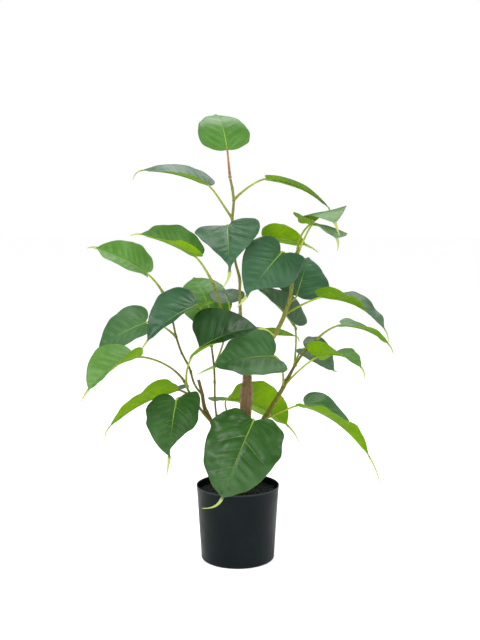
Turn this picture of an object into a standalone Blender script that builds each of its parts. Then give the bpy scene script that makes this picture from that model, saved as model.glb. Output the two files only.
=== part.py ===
"""Potted sacred fig: a round nursery pot of soil, a trunk with thin branches and 29 leaves.

Every leaf is one closed body of blade, stalk and drip tip. Sizes are millimetres in the part's
own frame: the origin is the centre of the pot's base, +Z is up and -Y is the front. MM turns
them into metres where the meshes are made.
"""

import math
from collections import namedtuple

import bmesh
import bpy
import numpy as np

MM = 0.001
GAP = 0.3

# Pot
POT_HEIGHT = 111.0
POT_TOP_RADIUS = 61.2
POT_BASE_RADIUS = 54.3
POT_WALL = 1.4
POT_FLOOR = 2.2
POT_EDGE_ROUND = 3.0
POT_STEPS = 40

# Soil
SOIL_TOP = 100.5
SOIL_BUMP = 0.9
SOIL_RINGS = (16.0, 28.0, 40.0, 50.0)
SOIL_STEPS = 24

# Leaf
BLADE_THICKNESS = 0.9
STALK_RADIUS = 1.25
STALK_STEPS = 5
STALK_LEAD = 0.3
STALK_FINE_STEPS = 60
STALK_CORNER_ACROSS = 0.87
STALK_CORNER_UP = 0.5
TIP_HALF_WIDTH = 1.9
TIP_END_HALF_WIDTH = 0.7
TIP_TAPER = 0.6
TIP_STEPS = 4
TIP_LEAD = 0.55
EDGE_ANGLE = 40.0

# Half outline of a blade, row by row from the stalk to the apex: where the row starts on the
# midrib, its side point on a slender and on a full blade (across in widths, along in lengths),
# how far a lobe draws that point back, and how far the row itself bows back.
Row = namedtuple("Row", "start slender full along lobe bow")
ROWS = (
    Row(0.00, 0.340, 0.340, 0.000, 0.100, 0.085),
    Row(0.11, 0.455, 0.455, 0.090, 0.060, 0.055),
    Row(0.25, 0.500, 0.500, 0.225, 0.015, 0.025),
    Row(0.42, 0.450, 0.490, 0.420, 0.000, 0.010),
    Row(0.60, 0.340, 0.425, 0.615, 0.000, 0.000),
    Row(0.77, 0.205, 0.310, 0.795, 0.000, 0.000),
    Row(0.90, 0.090, 0.165, 0.925, 0.000, 0.000),
)
# Columns between the midrib's edge and the side, as fractions of a row
COLUMNS = (0.36, 0.70, 1.00)

Finish = namedtuple("Finish", "name colour roughness")
POT_PLASTIC = Finish("pot_plastic", (0.018, 0.021, 0.024), 0.45)
SOIL = Finish("soil", (0.012, 0.010, 0.009), 0.95)
BARK = Finish("bark", (0.235, 0.175, 0.120), 0.80)
TWIG = Finish("twig", (0.250, 0.225, 0.090), 0.60)
BLADE = Finish("leaf", (0.070, 0.190, 0.060), 0.45)

# A tube's middle line, the radius at each of its points, its number of sides, and the tube and
# height where its lower end sits against another's side.
Tube = namedtuple("Tube", "points radii sides carrier height")
TUBES = {
    "trunk": Tube(
        [(2.5, 2, 40.8), (4, 2, 101), (8, 1, 150), (11.4, 0, 214), (13.3, 0, 256), (13.8, 0, 268),
         (14, 0, 290)],
        [10.0, 9.4, 9.0, 8.8, 8.9, 6.9, 6.7],
        12,
        None,
        0,
    ),
    "leader": Tube(
        [(11.5, 3, 290.4), (11.3, 3, 299), (8, 2, 319), (5, 1, 350), (4, 1, 365), (3, 2, 399), (3, 3, 414),
         (-3, 5, 438), (-8, 8, 499), (-6, 8, 531), (-7, 8, 541), (-11, 7, 561)],
        [2.3, 2.3, 2.2, 2.2, 2.4, 2.0, 2.1, 1.9, 2.0, 1.9, 1.9, 1.7],
        8,
        None,
        0,
    ),
    "branch_left_inner": Tube(
        [(10.3, -3, 290.4), (10, -3.4, 298), (2, -6, 315), (-10, -10, 342), (-23, -21, 372), (-28, -28, 389),
         (-35, -37, 412)],
        [2.2, 2.2, 2.1, 2.0, 1.9, 1.8, 1.7],
        8,
        None,
        0,
    ),
    "branch_right_inner": Tube(
        [(17.2, -0.6, 290.9), (18.5, -0.6, 296), (33, 0, 308), (48, 0, 325), (66, 0, 358), (76, 0, 388),
         (80, 0, 420), (87, 0, 458)],
        [3.2, 3.2, 3.3, 3.2, 3.2, 2.8, 2.5, 2.4],
        8,
        None,
        0,
    ),
    "branch_right_lower": Tube(
        [(28, -2, 194), (37, -3, 208), (62, -5, 249), (70, -5, 264), (82, 2, 285), (101, 16, 310),
         (117, 28, 323)],
        [3.5, 3.4, 3.1, 3.1, 2.0, 1.7, 1.5],
        8,
        "trunk",
        160,
    ),
    "branch_left_cut": Tube(
        [(-4, -5, 155), (-16, -7, 170), (-29, -8, 188), (-41, -9, 212), (-48, -10, 227), (-52, -11, 249),
         (-57, -12, 269)],
        [3.4, 3.3, 3.2, 3.0, 3.0, 2.5, 2.3],
        8,
        "trunk",
        146,
    ),
    "branch_left_lower": Tube(
        [(-50, -14, 221), (-58, -15, 232), (-71, -16, 253), (-77, -16, 267)],
        [2.1, 2.0, 1.8, 1.7],
        8,
        "branch_left_cut",
        205,
    ),
    "twig_left": Tube(
        [(-62, -15, 262), (-71, -9, 288), (-82, -2, 308), (-91, 9, 332), (-96, 20, 351), (-112, 42, 392)],
        [1.6, 1.6, 1.6, 1.5, 1.5, 1.4],
        6,
        "branch_left_cut",
        246,
    ),
    "stem_upright": Tube(
        [(-29, -1, 199), (-32, 0, 218), (-35, -2, 290), (-38, -4, 316)],
        [1.6, 1.5, 1.5, 1.4],
        6,
        "branch_left_cut",
        183,
    ),
}

# A leaf: the blade from its base to its apex, the way its upper side looks, its width, how far
# the midrib arches, how many degrees its left and right halves droop, how many degrees the blade
# twists over to the right on its way to the apex, how deep its left and right lobes reach back
# (below zero they are drawn forward), how full its left and right halves are near the apex, the
# reach of its drip tip, the tube that carries it, the height of its seat there (0 for the tube's
# end) and the point that its stalk leans to first.
Leaf = namedtuple("Leaf", "base apex face width arch droop twist lobes full tip carrier seat lean")
LEAVES = {
    "leaf_top": Leaf(
        (-15, 5, 601), (-32, 50, 655), (0.15, -0.85, 0.5), 76, 12, (-5, 6), 0, (-0.5, -0.5), (1.0, 0.9),
        (-10, 14, -26), "leader", 0, (-13, 6, 580),
    ),
    "leaf_upper_left": Leaf(
        (-44, -8, 551), (-135, -12, 571), (0.05, -0.22, 0.97), 74, 6, (-14, -14), 0, (0.0, 0.9), (0.4, 0.7),
        (-14, -2, -13), "leader", 503, (-24, 0, 526),
    ),
    "leaf_upper_right": Leaf(
        (43, 14, 560), (131, 5, 519), (0.35, 0.10, 0.92), 52, 9, (-4, -6), 0, (0.3, 0.3), (1.2, 1.2),
        (1, 4, -8), "leader", 529, (12, 9, 548),
    ),
    "leaf_centre_upper": Leaf(
        (-15, -12, 493), (-11, -80, 432), (0, -0.5, 0.85), 94, 6, (-12, -4), 0, (1.4, -0.1), (-0.8, -1.0),
        (-10, -4, -24), "leader", 470, (-9, -1, 488),
    ),
    "leaf_centre_heart": Leaf(
        (62, -30, 455), (13, -85, 398), (0.1, -0.85, 0.52), 87, 5, (30, -2), 0, (3.2, 1.7), (-1.0, 0.4),
        (-14, -3, -16), "branch_right_inner", 425, (76, -14, 446),
    ),
    "leaf_left_high": Leaf(
        (-60, -46, 450), (-132, -69, 481), (0.25, -0.25, 0.95), 84, 4, (-27, -32), 0, (0.1, 1.3),
        (0.3, 0.5), (-15, -3, -2), "branch_left_inner", 0, (-45, -40, 432),
    ),
    "leaf_left_far_high": Leaf(
        (-136, 36, 422), (-205, 12, 460), (0.2, -0.6, 0.75), 80, 4, (-25, -16), -24, (-0.9, 1.0),
        (0.5, 0.5), (-14, -5, 0), "twig_left", 0, (-120, 42, 407),
    ),
    "leaf_back_left": Leaf(
        (-39, 39, 358), (-68, 101, 411), (0, -0.7, 0.7), 76, 12, (8, 8), 0, (0.2, 0.2), (1.0, 1.0),
        (-4, 7, -6), "leader", 335, (-20, 19, 345),
    ),
    "leaf_inner_small": Leaf(
        (-13, 8, 380), (-26, 44, 396), (0, -0.25, 0.97), 54, 4, (-12, -10), 0, (0.0, -0.2), (0.5, 0.5),
        (-2, 8, -14), "stem_upright", 286, (-25, 0, 305),
    ),
    "leaf_left_inner": Leaf(
        (-60, -15, 378), (-126, -50, 333), (-0.3, -0.5, 0.8), 87, 8, (-30, -28), 0, (1.8, 1.0), (0.2, 0.2),
        (-10, -3, -15), "stem_upright", 0, (-40, -6, 350),
    ),
    "leaf_left_back": Leaf(
        (-140, 54, 346), (-212, 60, 303), (-0.3, -0.55, 0.75), 75, 6, (-8, -20), 0, (0.8, 0.8), (1.0, 1.0),
        (-8, -4, -16), "twig_left", 330, (-110, 26, 346),
    ),
    "leaf_left_far": Leaf(
        (-143, -50, 308), (-204, -91, 270), (-0.35, -0.5, 0.8), 83, 9, (-36, -24), -20, (-0.4, 0.4),
        (0.6, 0.6), (-11, -3, -17), "branch_left_lower", 0, (-92, -26, 295),
    ),
    "leaf_centre_mid": Leaf(
        (-54, -50, 321), (26, -74, 352), (-0.2, -0.62, 0.76), 95, 8, (-30, -36), 0, (0.0, 0.3), (0.2, 0.2),
        (25, -3, -11), "branch_left_lower", 259, (-78, -28, 291),
    ),
    "leaf_centre_low": Leaf(
        (52, -30, 307), (-31, -55, 296), (-0.1, -0.77, 0.64), 86, 8, (-18, -15), 0, (0.9, 0.9), (0.4, 0.4),
        (-27, -3, -12), "branch_right_lower", 257, (68, -16, 282),
    ),
    "leaf_front_large": Leaf(
        (23, -42, 216), (-21, -98, 120), (-0.1, -0.85, 0.45), 110, 8, (10, 8), 0, (0.8, 0.8), (1.0, 1.0),
        (-28, -6, -14), "trunk", 192, (18, -26, 213),
    ),
    "leaf_left_low_front": Leaf(
        (-87, -53, 247), (-94, -97, 178), (-0.1, -0.85, 0.5), 80, 6, (46, -8), -26, (3.4, 1.3), (-1.1, 0.5),
        (-4, -3, -28), "branch_left_lower", 238, (-76, -36, 251),
    ),
    "leaf_left_low": Leaf(
        (-89, 0, 252), (-184, -34, 205), (-0.4, 0.3, 0.85), 80, 8, (-21, -20), 0, (-0.5, 1.8), (0.4, 0.4),
        (-7, -3, -20), "branch_left_lower", 247, (-80, -9, 252),
    ),
    "leaf_right_low": Leaf(
        (97, -24, 234), (183, -73, 173), (0.5, 0.0, 0.85), 85, 10, (-12, -28), -55, (0.7, 0.4), (-0.6, 0.5),
        (16, -5, -40), "branch_right_lower", 210, (62, -11, 220),
    ),
    "leaf_back_low": Leaf(
        (-16, 44, 230), (76, 88, 182), (0.1, 0.75, 0.66), 92, 12, (-35, -10), 0, (1.0, 0.3), (1.0, 1.0),
        (20, 0, -28), "trunk", 178, (-19, 26, 205),
    ),
    "leaf_right_top": Leaf(
        (117, 0, 505), (133, -72, 497), (-0.05, -0.1, 0.97), 70, 12, (-10, 8), 0, (0.0, 1.5), (0.3, 0.3),
        (6, -6, -18), "branch_right_inner", 0, (87, -1, 489),
    ),
    "leaf_right_top_low": Leaf(
        (107, -12, 494), (135, -78, 476), (0.1, -0.3, 0.95), 82, 8, (18, -25), 0, (0.6, -0.4), (1.0, 0.4),
        (1, -4, -17), "branch_right_inner", 445, (97, -8, 480),
    ),
    "leaf_back_upper": Leaf(
        (37, 57, 475), (102, 64, 464), (0.1, 0.7, 0.66), 52, 6, (-24, -8), 0, (0.5, 0.5), (0.6, 0.6),
        (20, 0, -12), "leader", 445, (12, 25, 462),
    ),
    "leaf_right_inner": Leaf(
        (88, 41, 388), (108, 76, 443), (0.1, -0.8, 0.6), 92, 5, (5, 5), 0, (-0.8, -1.0), (0.6, 0.6),
        (-3, 4, -3), "branch_right_inner", 379, (84, 22, 386),
    ),
    "leaf_right_high": Leaf(
        (125, 0, 389), (209, -30, 347), (0.4, 0.0, 0.9), 78, 12, (-26, -14), 25, (0.0, 0.8), (0.3, 0.3),
        (6, -3, -20), "branch_right_inner", 364, (92, 0, 378),
    ),
    "leaf_right_mid": Leaf(
        (157, 33, 345), (221, 10, 320), (0.3, 0.05, 0.93), 46, 7, (-8, -12), -50, (0.8, 0.8), (1.0, 1.0),
        (8, -2, -16), "branch_right_lower", 0, (132, 31, 339),
    ),
    "leaf_right_low_mid": Leaf(
        (117, -15, 304), (174, -45, 294), (0.2, 0.0, 0.95), 74, 10, (-14, -20), 40, (0.8, 0.8), (0.5, 0.5),
        (6, -3, -17), "branch_right_lower", 258, (88, -10, 284),
    ),
    "leaf_right_low_back": Leaf(
        (103, 49, 307), (145, 43, 275), (0.3, -0.5, 0.75), 70, 5, (-10, -14), 0, (1.8, 1.6), (0.2, 0.2),
        (6, -2, -1), "branch_right_lower", 268, (88, 22, 290),
    ),
    "leaf_inner_upright": Leaf(
        (84, 54, 345), (29, 48, 399), (0.5, -0.42, 0.75), 78, 4, (-26, -18), 0, (0.6, 2.2), (0.3, 0.3),
        (-11, -3, -6), "branch_right_lower", 287, (86, 26, 311),
    ),
    "leaf_back_mid": Leaf(
        (20, 20, 331), (86, 25, 329), (0.1, 0.3, 0.9), 46, 5, (4, -8), 0, (0.4, 0.4), (0.4, 0.4),
        (5, -3, -9), "trunk", 269, (17, 16, 295),
    ),
}


def unit(vector):
    """A vector's direction, at length 1."""
    vector = np.asarray(vector, float)
    return vector / np.linalg.norm(vector)


def across(vector, axis):
    """The part of a vector that lies square to an axis, at length 1."""
    axis = unit(axis)
    vector = np.asarray(vector, float)
    return unit(vector - axis * vector.dot(axis))


def remove_everything():
    """Empty the scene of the objects that it opens with."""
    for item in list(bpy.data.objects):
        bpy.data.objects.remove(item, do_unlink=True)


def finish_material(finish):
    """One Principled material for each finish, made once."""
    material = bpy.data.materials.get(finish.name)
    if material is None:
        material = bpy.data.materials.new(finish.name)
        material.use_nodes = True
        shader = material.node_tree.nodes["Principled BSDF"]
        shader.inputs["Base Color"].default_value = (*finish.colour, 1.0)
        shader.inputs["Roughness"].default_value = finish.roughness
        shader.inputs["Metallic"].default_value = 0.0
    return material


def add_object(name, body, finish):
    """Turn a bmesh in millimetres into a named object in metres."""
    bmesh.ops.scale(body, vec=(MM, MM, MM), verts=body.verts)
    mesh = bpy.data.meshes.new(name)
    body.to_mesh(mesh)
    body.free()
    mesh.shade_smooth()
    mesh.set_sharp_from_angle(angle=math.radians(EDGE_ANGLE))
    mesh.materials.append(finish_material(finish))
    item = bpy.data.objects.new(name, mesh)
    bpy.context.collection.objects.link(item)
    return item


def turned_body(profile, steps):
    """Spin an (r, z) profile that starts and ends on the axis, or closes on itself, into a solid."""
    body = bmesh.new()
    points = [body.verts.new((r, 0, z)) for r, z in profile]
    edges = [body.edges.new(pair) for pair in zip(points, points[1:])]
    bmesh.ops.spin(
        body, geom=points + edges, cent=(0, 0, 0), axis=(0, 0, 1), angle=2 * math.pi, steps=steps,
        use_merge=True,
    )
    bmesh.ops.remove_doubles(body, verts=body.verts, dist=0.001)
    bmesh.ops.recalc_face_normals(body, faces=body.faces)
    return body


def wall_radius(z):
    """Outer radius of the pot's wall at a height."""
    return POT_BASE_RADIUS + (POT_TOP_RADIUS - POT_BASE_RADIUS) * z / POT_HEIGHT


def build_pot():
    """A thin tapered wall with a rounded foot, a flat floor and a softened rim."""
    foot = [
        (POT_BASE_RADIUS - POT_EDGE_ROUND * (1 - math.sin(turn)), POT_EDGE_ROUND * (1 - math.cos(turn)))
        for turn in (0.0, math.radians(45), math.radians(90))
    ]
    rim = POT_WALL / 4
    inside_top = POT_TOP_RADIUS - POT_WALL
    inside_low = wall_radius(POT_FLOOR) - POT_WALL
    profile = [(0, 0), *foot]
    profile += [(wall_radius(POT_HEIGHT - rim), POT_HEIGHT - rim), (POT_TOP_RADIUS - rim, POT_HEIGHT)]
    profile += [(inside_top + rim, POT_HEIGHT), (inside_top, POT_HEIGHT - rim)]
    profile += [(inside_low, POT_FLOOR), (0, POT_FLOOR)]
    add_object("pot", turned_body(profile, POT_STEPS), POT_PLASTIC)


def build_soil():
    """The fill, with a gently uneven top and a socket for the trunk."""
    foot = POT_FLOOR + GAP
    side = POT_WALL + 2 * GAP
    profile = [(0, foot), (wall_radius(foot) - side, foot), (wall_radius(SOIL_TOP) - side, SOIL_TOP)]
    profile += [(radius, SOIL_TOP) for radius in reversed(SOIL_RINGS)] + [(0, SOIL_TOP)]
    body = turned_body(profile, SOIL_STEPS)
    for vert in body.verts:
        if vert.co.z > SOIL_TOP - 1 and vert.co.xy.length < SOIL_RINGS[-1] + 1:
            vert.co.z += SOIL_BUMP * math.sin(0.21 * vert.co.x + 1.0) * math.cos(0.17 * vert.co.y)
    soil = add_object("soil", body, SOIL)

    trunk = TUBES["trunk"]
    socket = Tube(
        [(*trunk.points[0][:2], trunk.points[0][2] - GAP), trunk.points[1], trunk.points[2]],
        [radius + GAP for radius in trunk.radii[:3]],
        trunk.sides,
        None,
        0,
    )
    cutter = add_object("soil_socket_cutter", rings_body(tube_rings(socket)), SOIL)
    cutter.hide_render = True
    cutter.display_type = "WIRE"
    cut = soil.modifiers.new("socket", "BOOLEAN")
    cut.operation = "DIFFERENCE"
    cut.solver = "EXACT"
    cut.object = cutter


def ring(centre, right, up, radius, sides):
    """The corners of one round section, anticlockwise from its right corner."""
    turns = [2 * math.pi * (k + 0.5) / sides for k in range(sides)]
    return [centre + radius * (math.cos(t) * right + math.sin(t) * up) for t in turns]


def middle_directions(points):
    """The way that a middle line runs at each of its points."""
    steps = [unit(b - a) for a, b in zip(points, points[1:])]
    inner = [unit(a + b) for a, b in zip(steps, steps[1:])]
    return [steps[0], *inner, steps[-1]]


def place_on_tube(name, height):
    """Point, direction and radius on a tube's middle line at a height above the pot's base."""
    tube = TUBES[name]
    points = [np.array(point, float) for point in tube.points]
    pairs = list(zip(points, points[1:], tube.radii, tube.radii[1:]))
    for low, high, low_radius, high_radius in pairs:
        if height <= high[2]:
            break
    share = (height - low[2]) / (high[2] - low[2])
    radius = low_radius + (high_radius - low_radius) * share
    return low + (high - low) * share, unit(high - low), radius


def seated_ring(corners, way, seat, axis, reach):
    """Slide a section's corners along its way until they lie on a plane beside a carrier."""
    outward = across(way, axis)
    speed = way.dot(outward)
    return [corner + way * (reach - (corner - seat).dot(outward)) / speed for corner in corners]


def tube_rings(tube):
    """All the sections of a tube, its frame carried along without twist."""
    points = [np.array(point, float) for point in tube.points]
    radii = list(tube.radii)
    if tube.carrier:
        seat, axis, carrier_radius = place_on_tube(tube.carrier, tube.height)
        points = [seat, *points]
        radii = [radii[0], *radii]
    ways = middle_directions(points)
    right = across((1, 0, 0), ways[0])
    rings = []
    for point, way, radius in zip(points, ways, radii):
        right = across(right, way)
        rings.append(ring(point, right, np.cross(way, right), radius, tube.sides))
    if tube.carrier:
        rings[0] = seated_ring(rings[0], ways[0], seat, axis, carrier_radius + GAP)
    return rings


def rings_body(rings):
    """Join a row of sections into one closed solid with flat ends."""
    body = bmesh.new()
    rows = [[body.verts.new(corner) for corner in corners] for corners in rings]
    close_rows(body, rows)
    body.faces.new(rows[0])
    body.faces.new(rows[-1])
    bmesh.ops.recalc_face_normals(body, faces=body.faces)
    return body


def close_rows(body, rows):
    """Skin between each section and the next."""
    for low, high in zip(rows, rows[1:]):
        count = len(low)
        for k in range(count):
            body.faces.new((low[k], low[(k + 1) % count], high[(k + 1) % count], high[k]))


class Blade:
    """Maps a flat leaf, millimetres across and along, to its bent place in space."""

    def __init__(self, leaf):
        self.base = np.array(leaf.base, float)
        self.chord = np.array(leaf.apex, float) - self.base
        self.length = np.linalg.norm(self.chord)
        self.up = across(leaf.face, self.chord)
        self.right = np.cross(unit(self.chord), self.up)
        self.arch = leaf.arch
        self.half_width = leaf.width / 2
        self.droop = [math.radians(angle) for angle in leaf.droop]
        self.twist = math.radians(leaf.twist)

    def midrib(self, along):
        """Point and frame (way, right, up) on the midrib, a parabola over its chord."""
        share = along / self.length
        held = min(max(share, 0.0), 1.0)
        slope = 4 * self.arch * (1 - 2 * held) / self.length
        way = unit(unit(self.chord) + slope * self.up)
        point = self.base + self.chord * held + self.up * 4 * self.arch * held * (1 - held)
        point = point + way * (share - held) * self.length
        up = np.cross(self.right, way)
        turn = self.twist * (held - 0.5)
        right = math.cos(turn) * self.right - math.sin(turn) * up
        return point, way, right, np.cross(right, way)

    def place(self, x, along, depth=0.0):
        """A point of the blade, depth millimetres under its upper side.

        A half's slope grows in proportion to the distance from the midrib, from half of its
        droop to one and a half times it, so that its cross-section is an arc.
        """
        point, _, right, up = self.midrib(along)
        side = 1 if x >= 0 else -1
        droop = self.droop[1 if side > 0 else 0]
        distance = abs(x)
        start = droop / 2
        end = start + droop * distance / self.half_width
        if abs(droop) > 1e-6:
            arc = self.half_width / droop
            out = arc * (math.sin(end) - math.sin(start))
            down = arc * (math.cos(start) - math.cos(end))
        else:
            out, down = distance, 0.0
        normal = math.cos(end) * up + side * math.sin(end) * right
        return point + side * out * right - down * up - depth * normal


def blade_row(row, leaf, length):
    """The flat points of one row, from its left side to its right side."""
    halves = []
    for sign, lobe, full in zip((-1, 1), leaf.lobes, leaf.full):
        side = row.slender + (row.full - row.slender) * full
        side_along = row.along - row.lobe * lobe
        half = [(sign * STALK_RADIUS * STALK_CORNER_ACROSS, row.start * length - GAP)]
        for share in COLUMNS:
            along = row.start + (side_along - row.start) * share**2
            along -= row.bow * min(max(lobe, -lobe / 2), 1.5) * 4 * share * (1 - share)
            half.append((sign * side * leaf.width * share, along * length))
        halves.append(half)
    return [*halves[0][::-1], (0.0, row.start * length), *halves[1]]


def bezier(start, lean, lead, end, share):
    """A point on a cubic curve with two guide points."""
    rest = 1 - share
    return rest**3 * start + 3 * rest**2 * share * lean + 3 * rest * share**2 * lead + share**3 * end


def stalk_rings(leaf, blade):
    """Six-sided sections of the stalk, from the blade's base down to the seat."""
    base, way, right, _ = blade.midrib(0.0)
    lean = np.array(leaf.lean, float)
    lead = base - way * STALK_LEAD * np.linalg.norm(base - lean)
    if leaf.seat:
        seat, axis, carrier_radius = place_on_tube(leaf.carrier, leaf.seat)
    else:
        last, seat = (np.array(point, float) for point in TUBES[leaf.carrier].points[-2:])
        axis = unit(seat - last)
        seat = seat + axis * GAP
    line = [bezier(seat, lean, lead, base, share) for share in np.linspace(0, 1, STALK_FINE_STEPS + 1)]
    start_way = unit(lean - seat) if leaf.seat else axis
    if leaf.seat:
        outward = across(start_way, axis)
        lift = abs(start_way.dot(axis)) / start_way.dot(outward)
        clear = carrier_radius + GAP + STALK_RADIUS * (1 + lift)
        first = next(k for k, point in enumerate(line) if (point - seat).dot(outward) > clear)
    else:
        first = STALK_FINE_STEPS // 10
    picks = np.linspace(STALK_FINE_STEPS, first, STALK_STEPS).round().astype(int)[1:]
    centres = [line[k] for k in picks] + [seat]
    rings = []
    before = base
    for k, centre in enumerate(centres):
        after = centres[k + 1] if k + 1 < len(centres) else centre
        heading = unit(before - after) if k + 1 < len(centres) else start_way
        right = across(right, heading)
        rings.append(hexagon(centre, right, np.cross(right, heading)))
        before = centre
    if leaf.seat:
        rings[-1] = seated_ring(rings[-1], start_way, seat, axis, carrier_radius + GAP)
    return rings


def hexagon(centre, right, up):
    """Six corners: three over the middle from left to right, then three under it, back again."""
    wide, tall = STALK_RADIUS * STALK_CORNER_ACROSS, STALK_RADIUS * STALK_CORNER_UP
    flat = [(-wide, tall), (0, STALK_RADIUS), (wide, tall), (wide, -tall), (0, -STALK_RADIUS), (-wide, -tall)]
    return [centre + x * right + z * up for x, z in flat]


def tip_rings(leaf, blade):
    """Flat six-sided sections of the drip tip, from the apex to its fine end."""
    apex, way, across_tip, _ = blade.midrib(blade.length)
    reach = np.array(leaf.tip, float)
    lead = way * TIP_LEAD * np.linalg.norm(reach)
    rings = []
    for k in range(1, TIP_STEPS + 1):
        share = k / TIP_STEPS
        centre = apex + lead * 2 * share * (1 - share) + reach * share**2
        heading = unit(lead * (2 - 4 * share) + reach * 2 * share)
        right = across(across_tip, heading)
        up = np.cross(right, heading)
        wide = TIP_HALF_WIDTH * (1 - share) ** TIP_TAPER + TIP_END_HALF_WIDTH
        tall = BLADE_THICKNESS / 2
        flat = [(-wide, tall), (0, tall), (wide, tall), (wide, -tall), (0, -tall), (-wide, -tall)]
        rings.append([centre + x * right + z * up for x, z in flat])
    return rings


def build_leaf(name, leaf):
    """Blade, stalk and drip tip as one closed solid."""
    blade = Blade(leaf)
    body = bmesh.new()
    upper, lower = [], []
    for row in ROWS:
        flat = blade_row(row, leaf, blade.length)
        middle = len(flat) // 2
        rib = 2 * STALK_RADIUS - (STALK_RADIUS - BLADE_THICKNESS / 2) * 2 * row.start
        upper.append([body.verts.new(blade.place(x, along)) for x, along in flat])
        under = []
        for k, (x, along) in enumerate(flat):
            near = abs(k - middle)
            depth = rib if near == 0 else (rib + BLADE_THICKNESS) / 2 if near == 1 else BLADE_THICKNESS
            under.append(body.verts.new(blade.place(x, along, depth)))
        lower.append(under)
    for low, high in zip(upper, upper[1:]):
        skin_strip(body, low, high)
    for low, high in zip(lower, lower[1:]):
        skin_strip(body, low[::-1], high[::-1])
    for low, high, low_under, high_under in zip(upper, upper[1:], lower, lower[1:]):
        body.faces.new((low[0], high[0], high_under[0], low_under[0]))
        body.faces.new((high[-1], low[-1], low_under[-1], high_under[-1]))

    middle = len(upper[0]) // 2
    for k in range(len(upper[0]) - 1):
        if k < middle - 1 or k > middle:
            body.faces.new((upper[0][k + 1], upper[0][k], lower[0][k], lower[0][k + 1]))
    join_stalk(body, upper[0], lower[0], middle, stalk_rings(leaf, blade))
    join_tip(body, upper[-1], lower[-1], middle, blade, tip_rings(leaf, blade))
    bmesh.ops.recalc_face_normals(body, faces=body.faces)
    add_object(name, body, BLADE)


def skin_strip(body, low, high):
    """Faces between two rows of the same count."""
    for k in range(len(low) - 1):
        body.faces.new((low[k], low[k + 1], high[k + 1], high[k]))


def join_stalk(body, upper, lower, middle, rings):
    """Carry the stalk on from the opening at the blade's base."""
    opening = upper[middle - 1 : middle + 2] + lower[middle - 1 : middle + 2][::-1]
    rows = [opening] + [[body.verts.new(corner) for corner in corners] for corners in rings]
    close_rows(body, rows)
    body.faces.new(rows[-1])


def join_tip(body, upper, lower, middle, blade, rings):
    """Draw the last row in to the drip tip with a fan on each side."""
    wide = TIP_HALF_WIDTH
    places = ((-wide, 0.0), (0.0, 0.0), (wide, 0.0), (wide, BLADE_THICKNESS), (0.0, BLADE_THICKNESS),
              (-wide, BLADE_THICKNESS))
    start = [body.verts.new(blade.place(x, blade.length, depth)) for x, depth in places]
    for row, corners in ((upper, start[:3]), (lower, start[:2:-1])):
        left, centre, right = corners
        body.faces.new((row[middle - 1], row[middle], centre, left))
        body.faces.new((row[middle], row[middle + 1], right, centre))
        for k in range(middle - 1):
            body.faces.new((row[k], row[k + 1], left))
            body.faces.new((row[-1 - k], row[-2 - k], right))
    body.faces.new((upper[0], lower[0], start[5], start[0]))
    body.faces.new((upper[-1], start[2], start[3], lower[-1]))
    rows = [start] + [[body.verts.new(corner) for corner in corners] for corners in rings]
    close_rows(body, rows)
    body.faces.new(rows[-1])


def main():
    remove_everything()
    build_pot()
    build_soil()
    for name, tube in TUBES.items():
        add_object(name, rings_body(tube_rings(tube)), BARK if name == "trunk" else TWIG)
    for name, leaf in LEAVES.items():
        build_leaf(name, leaf)


main()
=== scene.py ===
"""Looks of a potted sacred fig: leaves, leaf stalks, stems, trunk, compost and nursery pot.

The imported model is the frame: its nodes give the places, and the pieces made here are finer
surfaces in the same places. Lengths in the plans are millimetres, and MM turns them into the
frame's metres. +Z is up and -Y is the front.
"""

import logging
import math
from dataclasses import dataclass
from enum import Enum

import bpy
import numpy as np
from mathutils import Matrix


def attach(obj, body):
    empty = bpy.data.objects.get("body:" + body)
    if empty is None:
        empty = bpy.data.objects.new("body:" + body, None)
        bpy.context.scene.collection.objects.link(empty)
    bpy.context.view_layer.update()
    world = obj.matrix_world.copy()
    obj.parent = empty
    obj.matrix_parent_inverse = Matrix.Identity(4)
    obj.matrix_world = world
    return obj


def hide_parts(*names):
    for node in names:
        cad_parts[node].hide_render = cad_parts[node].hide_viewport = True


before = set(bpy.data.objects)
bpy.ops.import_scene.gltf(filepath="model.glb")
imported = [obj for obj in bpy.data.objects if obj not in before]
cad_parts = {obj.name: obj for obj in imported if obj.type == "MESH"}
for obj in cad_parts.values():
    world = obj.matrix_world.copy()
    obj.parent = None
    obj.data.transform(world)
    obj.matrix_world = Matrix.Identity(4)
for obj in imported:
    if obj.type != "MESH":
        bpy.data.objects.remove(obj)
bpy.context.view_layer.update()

MM = 0.001
BODY = "root"
# Radians from one joint of a stem to the next, which is about the golden angle.
JOINT_TURN = 2.4
# Numbers with nothing in common, from which lattice_value makes its fixed noise.
SCRAMBLE = np.array([127.1, 311.7, 74.7])
SCRAMBLE_GAIN = 43758.5453
SEED_SHIFT = 53.31
Array = np.ndarray
Material = bpy.types.Material
Piece = bpy.types.Object
Pair = tuple[float, float]
Point = tuple[float, float, float]
Colour = tuple[float, float, float]
log = logging.getLogger("fig")


# ---- Geometry in arrays


def unit(vectors: Array) -> Array:
    """Vectors of length 1 with the same directions, for one vector or many."""
    return vectors / np.linalg.norm(vectors, axis=-1, keepdims=True)


def across(vectors: Array, axis: Array) -> Array:
    """The unit part of vectors that lies square to an axis."""
    axis = unit(axis)
    return unit(vectors - axis * np.sum(vectors * axis, -1, keepdims=True))


def ease(low: float, high: float, values: Array) -> Array:
    """Smooth step: 0 below low, 1 above high, and 3t^2 - 2t^3 between."""
    t = np.clip((values - low) / (high - low), 0.0, 1.0)
    return t * t * (3 - 2 * t)


def mix(first: Array, second: Array, share: Array) -> Array:
    """Linear blend from the first value to the second."""
    return first + (second - first) * share


def bell(away: Array, width: float) -> Array:
    """1 where away is 0, falling on both sides as e to the -(away / width)^2."""
    return np.exp(-((away / width) ** 2))


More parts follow.
